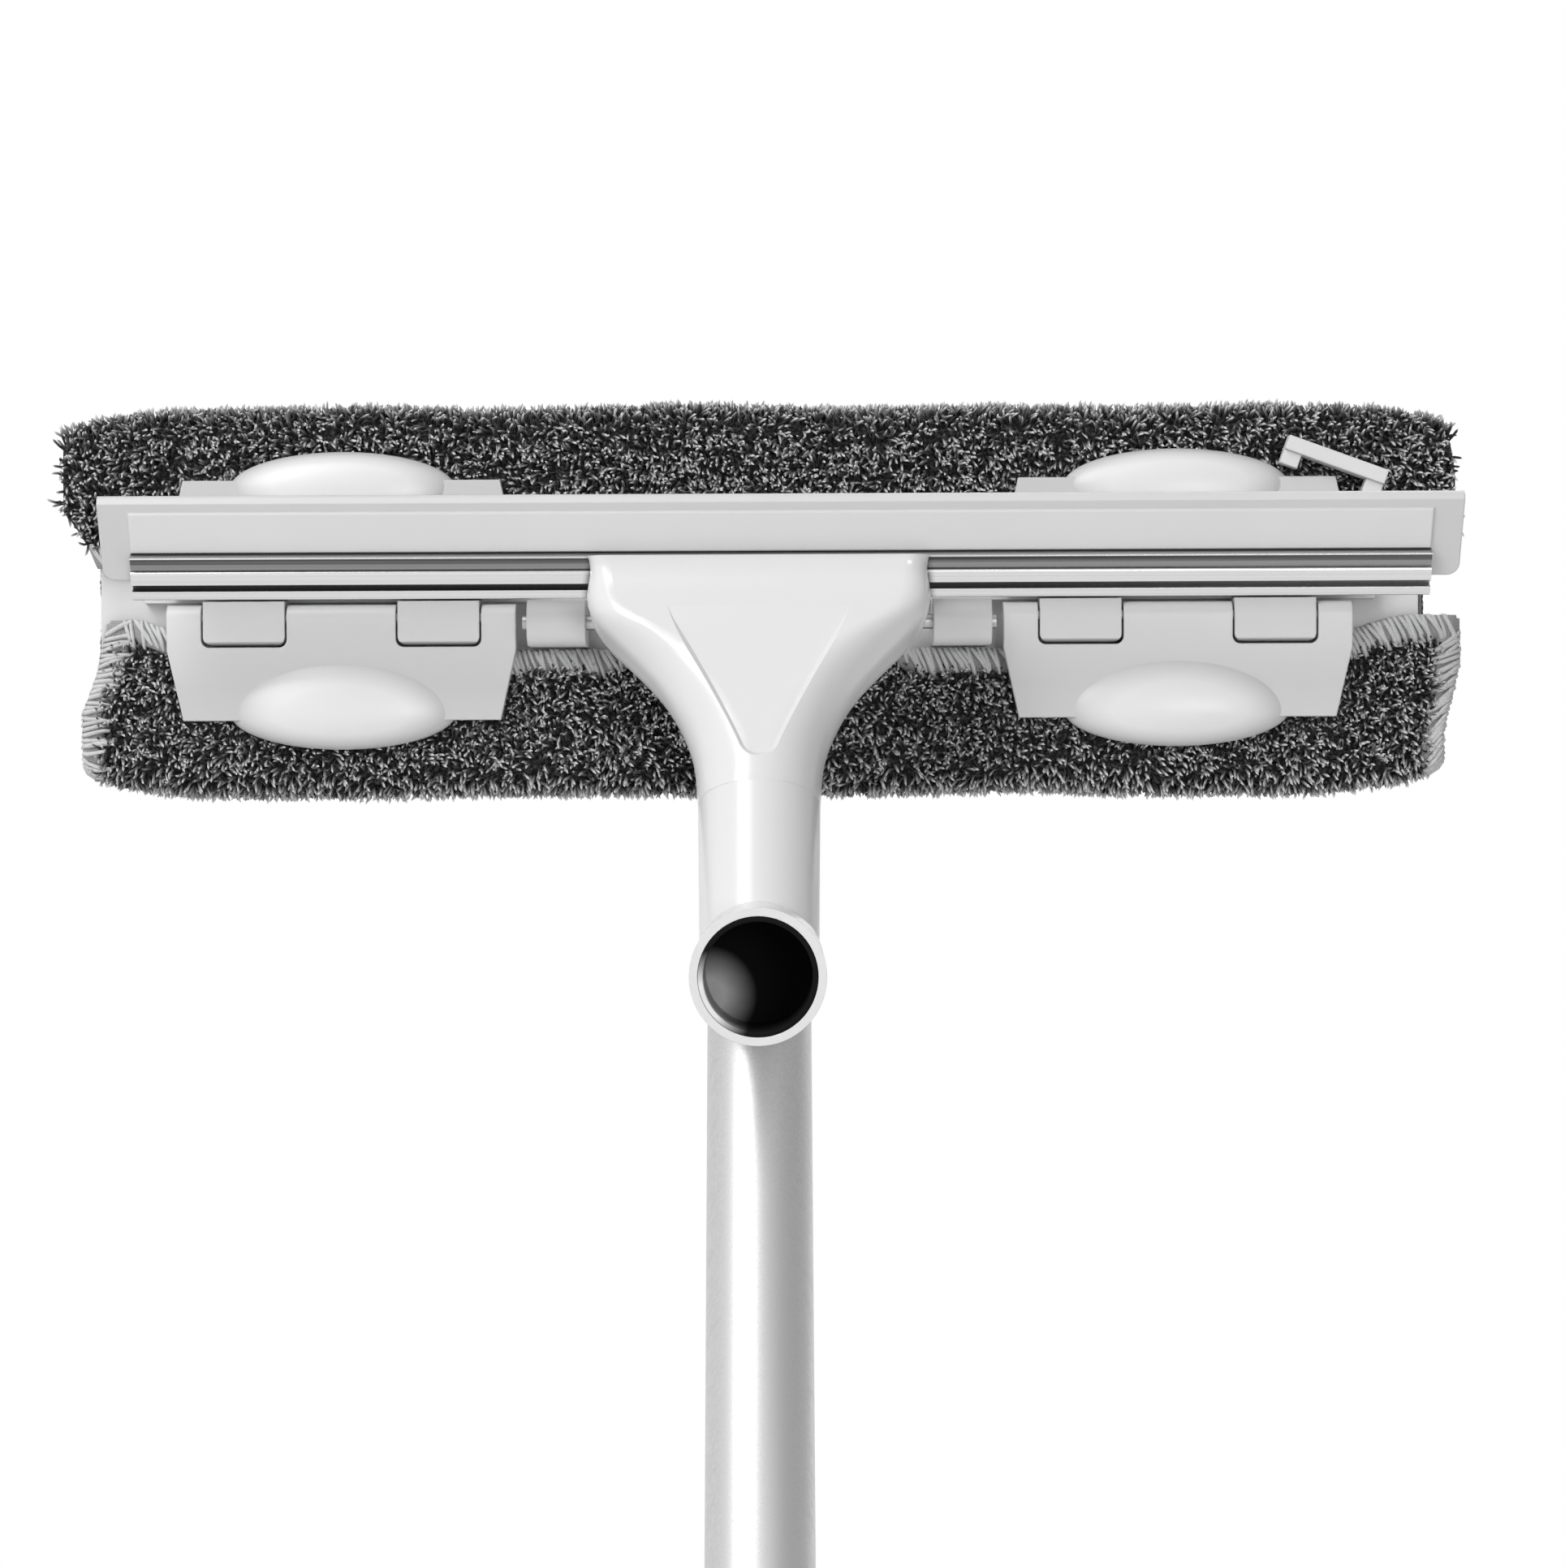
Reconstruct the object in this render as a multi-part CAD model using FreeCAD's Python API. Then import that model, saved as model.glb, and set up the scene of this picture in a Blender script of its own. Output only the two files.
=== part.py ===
"""Window scrubber: a cloth-covered pad and a squeegee on a tilting head, with a telescopic pole.

Millimetres, +X across the head, +Y from the handle side to the cloth's face, +Z up.
Pieces are drawn from the middle of the backing plate's rear face. The finished part is then moved so that
its origin is the middle of the mouth of the empty pole socket.
"""
import FreeCAD
import Part
import math
import os

Vector = FreeCAD.Vector
ACROSS = Vector(1, 0, 0)
AWAY = Vector(0, 1, 0)
UP = Vector(0, 0, 1)
MIDDLE = Vector(0, 0, 0)
SIDES = (-1, 1)

# Fits
overrun = 1.0
running_gap = 0.05
seat_gap = 0.08
soft_gap = 0.3

# Backing plate and the ribs on its rear
plate_end_margin = 7.0
plate_height = 66.0
plate_thickness = 4.0
plate_corner = 6.0
rib_height = 2.6
rib_thickness = 2.0
rib_inset = 9.0

# Foam on the plate's front
foam_margin = 2.0
foam_thickness = 6.0
foam_corner = 5.0

# Cloth: pile in front of the foam, folded round the plate's long edges, hems under the clips
cloth_width = 278.0
cloth_height = 80.0
cloth_front_pile = 7.5
cloth_flap_pile = 4.4
cloth_hem_height = 10.6
cloth_front_round = 8.0
cloth_edge_round = 3.8
cloth_end_scoop = 6.0
cloth_station_shares = (-1.0, -0.965, -0.88, -0.45, 0.0, 0.45, 0.88, 0.965, 1.0)
cloth_height_shares = (0.885, 0.955, 0.985, 1.0, 0.99, 1.0, 0.99, 0.96, 0.885)
cloth_pile_shares = (0.6, 0.87, 0.97, 1.0, 0.98, 1.0, 0.97, 0.87, 0.6)

# Stiff tag on the cloth's upper right corner
tag_length = 20.8
tag_height = 2.9
tag_depth = 4.6
tag_leg_width = 3.6
tag_leg_drop = 2.8
tag_leg_setback = 1.0
tag_end_margin = 24.5
tag_rise = 26.2
tag_turn = 20.0

# Clips that press the hems down
clip_spacing_share = 0.597
clip_middle_drop = 0.75
clip_width = 69.2
clip_foot_width = 63.0
clip_thickness = 2.2
clip_reach = 20.4
clip_shoulder = 6.5
clip_pin_height = 4.2
clip_pin_standoff = 6.0
clip_pin_radius = 1.2
clip_pin_inset = 1.0
clip_barrel_radius = 2.6
lip_reach = 26.2
lip_half_width = 22.5
lip_level = 18.8
lip_rise = 11.2
lip_bulge = 5.6
lip_wall = 1.6

# Lugs that carry the clips' pins
lug_spacing = 38.6
lug_width = 16.2
lug_radius = 5.4
lug_corner_round = 1.6
lug_face = 2.4
lug_root = 3.2
lug_side_gap = 0.4
lug_swing_gap = 0.5

# Tilt hinge between the plate and the handle's yoke
tilt_axle_radius = 1.5
tilt_axle_overhang = 1.0
tilt_height = 5.6
tilt_standoff = 12.0
tilt_lug_width = 11.5
tilt_lug_radius = 4.5
tilt_side_gap = 1.2
tilt_barrel_inset = 3.0

# Yoke and neck of the handle, which leans towards the user
neck_lean = 27.0
neck_standoff = 25.0
neck_blend = 47.0
neck_length = 86.0
neck_radius = 11.5
neck_end_radius = 11.0
yoke_half_width = 33.0
yoke_half_depth = 8.5
yoke_top = 6.4
neck_drop_shares = (0.02, 0.17, 0.32, 0.49, 0.66, 0.83, 1.0)
neck_width_shares = (1.0, 1.0, 0.93, 0.65, 0.34, 0.144, 0.033, 0.0)
neck_depth_shares = (0.0, 0.57, 0.77, 0.87, 0.93, 0.97, 1.0, 1.0)
neck_corner_shares = (0.47, 0.54, 0.69, 0.81, 0.91, 0.965, 0.983, 0.99)
neck_lean_shares = (0.0, 0.11, 0.52, 0.89, 1.0, 1.0, 1.0, 1.0)

# V-shaped recess in the front of the yoke
recess_half_angle = 26.0
recess_top = 4.0
recess_apex = 47.5
recess_tip_round = 4.3
recess_draft = 45.0
recess_floor_reach = 2.5
recess_mouth_reach = 2.5
recess_depth = 1.3
recess_depth_shares = (-0.3, -0.25, 0.1, 0.6, 1.0, 1.0, 0.8, 0.6)

# Empty socket that faces the user, with its liner
socket_reach = 102.0
socket_drop = 71.0
socket_radius = 12.0
socket_depth = 22.0
liner_wall = 0.9
liner_floor = 1.0

# Squeegee: channel and rubber lean towards the user
squeegee_lean = 28.0
squeegee_height = 3.9
squeegee_offset = 4.3
channel_length = 251.0
channel_thickness = 7.0
channel_height = 9.0
channel_groove_depths = (0.8, 1.4)
channel_groove_widths = (2.7, 1.0)
channel_groove_shares = (0.648, -0.451)
channel_bead_round = 0.7
rubber_length = 262.5
rubber_thickness = 2.0
rubber_rise = 11.2
rubber_bulb_radius = 1.7
rubber_bulb_drop = 1.2
rubber_tip_bevel = 0.9
rubber_corner_round = 2.4
rubber_land_proud = 0.5
rubber_land_margin = 2.6
rubber_land_bevel = 0.3

# Two screws that hold the channel in the yoke
screw_spacing = 36.0
screw_height = 2.0
screw_radius = 1.4
screw_length = 2.6
screw_head_radius = 2.6
screw_head_height = 1.6
screw_slot_width = 0.7
screw_slot_depth = 0.8

# Telescopic pole
pole_radius = 9.5
pole_wall = 1.0
pole_insertion = 31.0
pole_shown = 127.0
pole_hidden = 170.0
outer_radius = 11.0
outer_wall = 1.0
outer_length = 300.0
plug_flange = 4.0
plug_spigot = 10.0

# Twist lock at the top of the outer tube
collet_radius = 12.5
collet_length = 26.0
collet_seat = 10.0
collet_flange_radius = 14.0
collet_flange_length = 12.0
collar_radius = 14.6
collar_lid = 2.0
collar_end_gap = 0.3
collar_flutes = 18
collar_flute_radius = 1.0

# Grip and end cap
grip_radius = 13.6
grip_length = 126.0
grip_end_margin = 10.0
grip_grooves = 14
grip_groove_radius = 1.1
grip_end_round = 2.4
cap_length = 9.0
cap_spigot = 20.0
cap_round = 2.0
tab_width = 19.0
tab_length = 22.0
tab_thickness = 8.0
hang_hole_radius = 4.5

# Values worked out from those above
plate_width = cloth_width - plate_end_margin * 2
clip_spacing = clip_spacing_share * cloth_width
tag_across = cloth_width / 2 - tag_end_margin
foam_face = plate_thickness + foam_thickness
hem_face = soft_gap + cloth_flap_pile
clip_pin_place = Vector(0, -clip_pin_standoff, -clip_pin_height)
tilt_place = Vector(0, -tilt_standoff, -tilt_height)
neck_top = Vector(0, -neck_standoff, 0)
lean_sine = math.sin(math.radians(neck_lean))
lean_cosine = math.cos(math.radians(neck_lean))
collar_start = neck_length + pole_shown
collet_start = collar_start + collar_lid
outer_start = collet_start + collet_length
outer_end = outer_start + outer_length
pole_start = neck_length - pole_insertion
pole_end = collar_start + pole_hidden
liner_radius = pole_radius + running_gap + liner_wall


def slab(low, high):
    """Box between two opposite corners."""
    size = high - low
    return Part.makeBox(size.x, size.y, size.z, low)


def bar(radius, length, centre, direction):
    """Round bar about its centre."""
    return Part.makeCylinder(radius, length, centre - direction * (length / 2), direction)


def prism(points, travel):
    """Flat outline pushed along a vector."""
    return Part.Face(Part.makePolygon(points + points[:1])).extrude(travel)


def edges_along(shape, direction):
    """Straight edges that run along a direction."""
    found = []
    for edge in shape.Edges:
        run = edge.Vertexes[-1].Point - edge.Vertexes[0].Point
        if run.Length > 0 and math.isclose(abs(run.dot(direction)), run.Length):
            found.append(edge)
    return found


def ellipsoid(half_width, half_depth, half_height, centre):
    """Unit ball stretched to three half sizes."""
    stretch = FreeCAD.Matrix()
    stretch.scale(half_width, half_depth, half_height)
    ball = Part.makeSphere(1).transformGeometry(stretch)
    ball.translate(centre)
    return ball


def along_pole(shape):
    """Turn a piece drawn straight down from the yoke into line with the leaning neck."""
    shape.rotate(MIDDLE, ACROSS, -neck_lean)
    shape.translate(neck_top)
    return shape


def pole_run(radius, start, end):
    """Round solid between two distances down the pole."""
    return Part.makeCylinder(radius, end - start, Vector(0, 0, -end), UP)


def on_squeegee(shape):
    """Turn a piece drawn upright on the squeegee's middle into its leaning place."""
    shape.rotate(MIDDLE, ACROSS, squeegee_lean)
    shape.translate(Vector(0, -neck_standoff, squeegee_height))
    return shape


def round_below(block):
    """Round a block's two lower edges that run away from the user."""
    runs = edges_along(block, AWAY)
    return block.makeFillet(lug_corner_round, [edge for edge in runs if edge.CenterOfMass.z < 0])


def clip_lug():
    """Lug about a lower clip's pin: rounded below, flat in front, rooted in the plate."""
    half = lug_width / 2
    lug = bar(lug_radius, lug_width, MIDDLE, ACROSS)
    root = slab(Vector(-half, 0, -lug_radius), Vector(half, clip_pin_standoff, lug_root))
    reach = slab(Vector(-half, -lug_face, -lug_radius), Vector(half, clip_pin_standoff, lug_root))
    return lug.fuse(root).common(round_below(reach))


def clip_places():
    """Side and level of each clip, with a word for its name."""
    for level, level_name in ((1, "upper"), (-1, "lower")):
        for side, side_name in ((-1, "left"), (1, "right")):
            yield side, level, level_name + "_" + side_name


def set_on_clip(shape, side, level):
    """Move a piece drawn about a lower clip's pin to one of the four clips."""
    shape.translate(clip_pin_place + Vector(side * clip_spacing / 2, 0, 0))
    if level > 0:
        shape = shape.mirror(Vector(0, 0, -clip_middle_drop), UP)
    return shape


def tilt_lug(side):
    """Hinge lug on the plate, beside the yoke."""
    inner = yoke_half_width + tilt_side_gap
    centre = tilt_place + Vector(side * (inner + tilt_lug_width / 2), 0, 0)
    half = Vector(tilt_lug_width / 2, 0, tilt_lug_radius)
    root = slab(centre - half, centre + half + Vector(0, tilt_standoff, 0))
    return bar(tilt_lug_radius, tilt_lug_width, centre, ACROSS).fuse(root)


def head_plate():
    """Moulded plate with a rib along its rear, the clips' lugs and the tilt hinge's lugs."""
    half = Vector(plate_width / 2, 0, plate_height / 2)
    plate = slab(-half, half + Vector(0, plate_thickness, 0))
    plate = plate.makeFillet(plate_corner, edges_along(plate, AWAY))
    rib_half = Vector(plate_width / 2 - rib_inset, 0, rib_thickness / 2)
    details = [slab(-rib_half - Vector(0, rib_height, 0), rib_half)]
    for side, level, name in clip_places():
        for lug_side in SIDES:
            lug = clip_lug()
            lug.translate(Vector(lug_side * lug_spacing / 2, 0, 0))
            details.append(set_on_clip(lug, side, level))
    for side in SIDES:
        details.append(tilt_lug(side))
    plate = plate.fuse(details)
    for side, level, name in clip_places():
        hole = bar(clip_pin_radius + seat_gap, clip_width, MIDDLE, ACROSS)
        plate = plate.cut(set_on_clip(hole, side, level))
    plate = plate.cut(bar(tilt_axle_radius + seat_gap, plate_width / 2, tilt_place, ACROSS))
    return plate.removeSplitter()


def foam_cushion():
    """Soft layer between the plate and the cloth."""
    half = Vector(plate_width / 2 - foam_margin, 0, plate_height / 2 - foam_margin)
    lift = Vector(0, plate_thickness, 0)
    foam = slab(lift - half, lift + half + Vector(0, foam_thickness, 0))
    return foam.makeFillet(foam_corner, edges_along(foam, AWAY))


def cloth_section(across, height_share, pile_share):
    """C-shaped section of the cloth: hem, fold, face, fold, hem, open at the rear."""
    top = height_share * cloth_height / 2
    face = foam_face + soft_gap + pile_share * cloth_front_pile
    inner_top = plate_height / 2 + soft_gap
    corner_share = 1 - math.sqrt(0.5)
    front_cut = corner_share * cloth_front_round
    edge_cut = corner_share * cloth_edge_round
    front_flat = top - cloth_front_round
    edge_flat = top - cloth_edge_round

    def point(away, up):
        return Vector(across, away, up)

    def line(start, end):
        return Part.LineSegment(point(*start), point(*end)).toShape()

    def arc(start, mid, end):
        return Part.Arc(point(*start), point(*mid), point(*end)).toShape()

    inside = [
        (-soft_gap, -cloth_hem_height),
        (-soft_gap, -inner_top),
        (foam_face + soft_gap, -inner_top),
        (foam_face + soft_gap, inner_top),
        (-soft_gap, inner_top),
        (-soft_gap, cloth_hem_height),
        (-hem_face, cloth_hem_height),
        (-hem_face, edge_flat),
    ]
    edges = [line(start, end) for start, end in zip(inside, inside[1:])]
    rear_round = cloth_edge_round - hem_face
    front_round = face - cloth_front_round
    edges.append(arc(inside[-1], (edge_cut - hem_face, top - edge_cut), (rear_round, top)))
    edges.append(line((rear_round, top), (front_round, top)))
    edges.append(arc((front_round, top), (face - front_cut, top - front_cut), (face, front_flat)))
    edges.append(line((face, front_flat), (face, -front_flat)))
    edges.append(arc((face, -front_flat), (face - front_cut, front_cut - top), (front_round, -top)))
    edges.append(line((front_round, -top), (rear_round, -top)))
    edges.append(arc((rear_round, -top), (edge_cut - hem_face, edge_cut - top), (-hem_face, -edge_flat)))
    edges.append(line((-hem_face, -edge_flat), (-hem_face, -cloth_hem_height)))
    edges.append(line((-hem_face, -cloth_hem_height), inside[0]))
    return Part.Wire(edges)


def scrub_cloth():
    """Thick cloth, crowned in front, whose ends pull in between their corners."""
    sections = []
    for station, height, pile in zip(cloth_station_shares, cloth_height_shares, cloth_pile_shares):
        sections.append(cloth_section(station * cloth_width / 2, height, pile))
    cloth = Part.makeLoft(sections, True, True)
    half_chord = cloth_height / 2
    scoop_radius = (half_chord * half_chord + cloth_end_scoop * cloth_end_scoop) / (cloth_end_scoop * 2)
    for side in SIDES:
        middle = Vector(side * (cloth_width / 2 - cloth_end_scoop + scoop_radius), 0, 0)
        cloth = cloth.cut(bar(scoop_radius, cloth_width, middle, AWAY))
    return cloth


def corner_tag():
    """Stiff bar with a leg under each end, turned in the plane of the plate."""
    half = Vector(tag_length / 2, 0, tag_height / 2)
    tag = slab(-half - Vector(0, tag_depth, 0), half)
    leg_half = Vector(tag_leg_width / 2, 0, 0)
    leg_low = Vector(0, tag_leg_setback - tag_depth, -tag_height / 2 - tag_leg_drop)
    for side in SIDES:
        middle = Vector(side * (tag_length - tag_leg_width) / 2, 0, 0)
        tag = tag.fuse(slab(middle - leg_half + leg_low, middle + leg_half))
    tag = tag.removeSplitter()
    tag.rotate(MIDDLE, AWAY, tag_turn)
    tag.translate(Vector(tag_across, -hem_face - soft_gap, tag_rise))
    return tag


def thumb_dome(inset):
    """Dome of a clip's thumb lip, drawn in by an inset: long towards the pin, short towards the edge."""
    centre = Vector(0, clip_thickness / 2, -lip_level)
    reach = Vector(lip_half_width, lip_half_width, 0)
    drop = lip_reach - lip_level
    upper = ellipsoid(lip_half_width - inset, lip_bulge - inset, lip_rise - inset, centre)
    lower = ellipsoid(lip_half_width - inset, lip_bulge - inset, drop - inset, centre)
    upper = upper.common(slab(centre - reach, centre + reach + UP * lip_rise))
    lower = lower.common(slab(centre - reach - UP * drop, centre + reach))
    return upper.fuse(lower)


def clip_flap():
    """Lower clip about its pin: a tapered flap flush with its knuckles, two notches and a domed thumb lip."""
    top = clip_width / 2
    foot = clip_foot_width / 2
    rear = clip_thickness / 2
    outline = [
        Vector(-top, rear, 0),
        Vector(top, rear, 0),
        Vector(top, rear, -clip_shoulder),
        Vector(foot, rear, -clip_reach),
        Vector(-foot, rear, -clip_reach),
        Vector(-top, rear, -clip_shoulder),
    ]
    flap = prism(outline, Vector(0, -rear - clip_barrel_radius, 0))
    wedge = [
        Vector(-top, rear, 0),
        Vector(-top, -clip_barrel_radius, 0),
        Vector(-top, rear - clip_thickness, -clip_reach),
        Vector(-top, rear, -clip_reach),
    ]
    flap = flap.common(prism(wedge, Vector(clip_width, 0, 0)))
    flap = flap.fuse(bar(clip_barrel_radius, clip_width, MIDDLE, ACROSS))
    behind_low = Vector(-clip_width, rear, -lip_reach - overrun)
    behind_high = Vector(clip_width, rear + lip_bulge + overrun, -clip_barrel_radius - overrun)
    dome = thumb_dome(0).cut(slab(behind_low, behind_high))
    flap = flap.fuse(dome).cut(thumb_dome(lip_wall))
    notch_half = lug_width / 2 + lug_side_gap
    notch_drop = lug_radius + lug_swing_gap
    for side in SIDES:
        middle = Vector(side * lug_spacing / 2, 0, 0)
        low = middle - Vector(notch_half, notch_drop, notch_drop)
        high = middle + Vector(notch_half, notch_drop, notch_drop)
        flap = flap.cut(round_below(slab(low, high)))
    return flap.cut(bar(clip_pin_radius + running_gap, clip_width + overrun, MIDDLE, ACROSS))


def clip_pins():
    """One steel pin through the lugs of each clip."""
    pins = []
    for side, level, name in clip_places():
        pin = bar(clip_pin_radius, clip_width - clip_pin_inset, MIDDLE, ACROSS)
        pins.append(set_on_clip(pin, side, level))
    return Part.makeCompound(pins)


def tilt_axle():
    """Axle of the tilt hinge, held in the plate's two lugs."""
    reach = yoke_half_width + tilt_side_gap + tilt_lug_width + tilt_axle_overhang
    return bar(tilt_axle_radius, reach * 2, tilt_place, ACROSS)


def rounded_section(half_width, half_depth, corner):
    """Rectangle with round corners, about the origin in the level plane."""
    edges = []
    flat_x = half_width - corner
    flat_y = half_depth - corner
    bulge = corner * math.sqrt(0.5)
    quarters = ((1, 1), (-1, 1), (-1, -1), (1, -1))
    ends = []
    for sign_x, sign_y in quarters:
        beside = Vector(sign_x * half_width, sign_y * flat_y, 0)
        beyond = Vector(sign_x * flat_x, sign_y * half_depth, 0)
        mid = Vector(sign_x * (flat_x + bulge), sign_y * (flat_y + bulge), 0)
        first, last = (beside, beyond) if sign_x == sign_y else (beyond, beside)
        ends.append((first, mid, last))
    for index, (first, mid, last) in enumerate(ends):
        edges.append(Part.Arc(first, mid, last).toShape())
        edges.append(Part.LineSegment(last, ends[(index + 1) % len(ends)][0]).toShape())
    return Part.Wire(edges)


def neck_blend_solid(sink):
    """Yoke that narrows and leans into the round neck, with its front and rear sunk for the recess."""
    drops = [-yoke_top]
    drops.extend(share * neck_blend for share in neck_drop_shares)
    sections = []
    for index, drop in enumerate(drops):
        half_width = neck_radius + neck_width_shares[index] * (yoke_half_width - neck_radius)
        half_depth = yoke_half_depth + neck_depth_shares[index] * (neck_radius - yoke_half_depth)
        half_depth -= sink * recess_depth_shares[index]
        section = rounded_section(half_width, half_depth, neck_corner_shares[index] * half_depth)
        section.rotate(MIDDLE, ACROSS, -neck_lean * neck_lean_shares[index])
        forward = max(drop, 0) * lean_sine
        down = drop * lean_cosine if drop > 0 else drop
        section.translate(neck_top - Vector(0, forward, down))
        sections.append(section)
    return Part.makeLoft(sections, True, False)


def recess_outline(reach):
    """V with a round tip, at a distance outside the neck's radius; its sides spread outwards."""
    half_angle = math.radians(recess_half_angle)
    spread = reach * math.tan(math.radians(recess_draft))
    away = -neck_radius - reach
    apex = -recess_apex - spread / math.sin(half_angle)
    tip_round = recess_tip_round + spread
    middle = apex + tip_round / math.sin(half_angle)
    touch = Vector(tip_round * math.cos(half_angle), away, middle - tip_round * math.sin(half_angle))
    corner = Vector((-recess_top - apex) * math.tan(half_angle), away, -recess_top)
    far_touch = Vector(-touch.x, away, touch.z)
    far_corner = Vector(-corner.x, away, corner.z)
    tip = Vector(0, away, middle - tip_round)
    edges = [
        Part.LineSegment(corner, touch).toShape(),
        Part.Arc(touch, tip, far_touch).toShape(),
        Part.LineSegment(far_touch, far_corner).toShape(),
        Part.LineSegment(far_corner, corner).toShape(),
    ]
    return Part.Wire(edges)


def recess_cutter():
    """V-shaped block in the yoke's front, over a floor that sinks gently from its top."""
    outlines = [recess_outline(-recess_floor_reach), recess_outline(recess_mouth_reach)]
    block = along_pole(Part.makeLoft(outlines, True, True))
    return block.cut(neck_blend_solid(recess_depth))


def squeegee_slot():
    """Space in the yoke for the channel, open upwards."""
    half_length = yoke_half_width * 2
    half_depth = channel_thickness / 2 + seat_gap
    low = Vector(-half_length, -half_depth, -channel_height / 2 - seat_gap)
    high = Vector(half_length, half_depth, channel_height * 2)
    return on_squeegee(slab(low, high))


def screw_face():
    """Distance of the screws' seat in front of the plate's rear face."""
    return neck_standoff - yoke_half_depth - seat_gap


def neck_body():
    """One moulding: yoke, tilt barrel, neck with the pole's socket, and the empty socket."""
    barrel_half = yoke_half_width - tilt_barrel_inset
    web_low = Vector(-barrel_half, -neck_standoff, -tilt_height - tilt_lug_radius)
    web_high = Vector(barrel_half, -tilt_standoff, tilt_lug_radius - tilt_height)
    neck_end = Vector(0, 0, -neck_length)
    cone = Part.makeCone(neck_end_radius, neck_radius, neck_length - neck_blend, neck_end, UP)
    socket_root = Vector(0, -neck_standoff - socket_drop * lean_sine / lean_cosine, -socket_drop)
    socket_length = socket_reach + socket_root.y
    socket = Part.makeCylinder(socket_radius, socket_length, socket_root, -AWAY)
    barrel = bar(tilt_lug_radius, barrel_half * 2, tilt_place, ACROSS)
    body = neck_blend_solid(0).fuse([along_pole(cone), socket, barrel, slab(web_low, web_high)])
    mouth = Vector(0, -socket_reach, -socket_drop)
    cuts = [
        squeegee_slot(),
        recess_cutter(),
        bar(tilt_axle_radius + running_gap, yoke_half_width * 2 + overrun, tilt_place, ACROSS),
        along_pole(pole_run(pole_radius + seat_gap, pole_start, neck_length + socket_radius * 2)),
        Part.makeCylinder(liner_radius + seat_gap, socket_depth + liner_floor, mouth, AWAY),
    ]
    for side in SIDES:
        seat = Vector(side * screw_spacing / 2, -screw_face() - screw_length - overrun, screw_height)
        cuts.append(Part.makeCylinder(screw_radius + seat_gap, neck_standoff, seat, AWAY))
        face = Vector(side * screw_spacing / 2, -screw_face(), screw_height)
        cuts.append(Part.makeCylinder(screw_head_radius + soft_gap, neck_standoff, face, AWAY))
    for cutter in cuts:
        body = body.cut(cutter)
    return body.removeSplitter()


def socket_liner():
    """Dark cup pressed into the empty socket."""
    mouth = Vector(0, -socket_reach, -socket_drop)
    cup = Part.makeCylinder(liner_radius, socket_depth + liner_floor, mouth, AWAY)
    return cup.cut(Part.makeCylinder(pole_radius + running_gap, socket_depth, mouth, AWAY))


def channel_screws():
    """Two pan-head screws behind the yoke, with a slot in each head."""
    screws = []
    for side in SIDES:
        seat = Vector(side * screw_spacing / 2, -screw_face(), screw_height)
        shank = Part.makeCylinder(screw_radius, screw_length, seat, -AWAY)
        head = Part.makeCylinder(screw_head_radius, screw_head_height, seat, AWAY)
        slot_half = Vector(screw_head_radius, 0, screw_slot_width / 2)
        slot_floor = seat + Vector(0, screw_head_height - screw_slot_depth, 0)
        slot = slab(slot_floor - slot_half, slot_floor + slot_half + Vector(0, screw_slot_depth + overrun, 0))
        screws.append(shank.fuse(head).cut(slot))
    return Part.makeCompound(screws)


def squeegee_channel():
    """Extruded channel with a keyhole for the rubber's bulb, and a bead between two grooves in front."""
    half = Vector(channel_length / 2, channel_thickness / 2, channel_height / 2)
    channel = slab(-half, half)
    for share, depth, width in zip(channel_groove_shares, channel_groove_depths, channel_groove_widths):
        middle = Vector(0, -channel_thickness / 2, share * channel_height / 2)
        groove_half = Vector(channel_length, depth, width / 2)
        channel = channel.cut(slab(middle - groove_half, middle + groove_half))
    bead_edges = []
    for edge in edges_along(channel, ACROSS):
        place = edge.CenterOfMass
        on_front = math.isclose(place.y, -channel_thickness / 2)
        on_bead = abs(place.z) < channel_height / 4
        at_foot = math.isclose(place.z, -channel_height / 2)
        if on_front and (on_bead or at_foot):
            bead_edges.append(edge)
    channel = channel.makeFillet(channel_bead_round, bead_edges)
    bulb = Vector(0, 0, -rubber_bulb_drop)
    channel = channel.cut(bar(rubber_bulb_radius + seat_gap, channel_length + overrun, bulb, ACROSS))
    throat = rubber_thickness / 2 + seat_gap
    slot_low = Vector(-channel_length, -throat, -rubber_bulb_drop)
    channel = channel.cut(slab(slot_low, Vector(channel_length, throat, channel_height)))
    channel.translate(Vector(squeegee_offset, 0, 0))
    return on_squeegee(channel)


def squeegee_rubber():
    """Rubber strip with a bulb in the channel, a thicker land above it and a bevelled wiping edge."""
    rear = rubber_thickness / 2
    tip = channel_height / 2 + rubber_rise
    start = -rubber_length / 2
    outline = [
        Vector(start, rear, -rubber_bulb_drop),
        Vector(start, rear, tip),
        Vector(start, rubber_tip_bevel - rear, tip),
        Vector(start, -rear, tip - rubber_tip_bevel),
        Vector(start, -rear, -rubber_bulb_drop),
    ]
    strip = prism(outline, Vector(rubber_length, 0, 0))
    crosswise = edges_along(strip, AWAY)
    corners = [edge for edge in crosswise if math.isclose(edge.CenterOfMass.z, -rubber_bulb_drop)]
    strip = strip.makeFillet(rubber_corner_round, corners)
    bulb = bar(rubber_bulb_radius, channel_length, Vector(0, 0, -rubber_bulb_drop), ACROSS)
    land_low = Vector(-channel_length / 2, -rear - rubber_land_proud, channel_height / 2 + seat_gap)
    land = slab(land_low, Vector(channel_length / 2, 0, tip - rubber_land_margin))
    rim = [edge for edge in land.Edges if math.isclose(edge.CenterOfMass.y, land_low.y)]
    land = land.makeChamfer(rubber_land_bevel, rim)
    rubber = strip.fuse([bulb, land]).removeSplitter()
    rubber.translate(Vector(squeegee_offset, 0, 0))
    return on_squeegee(rubber)


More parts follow.
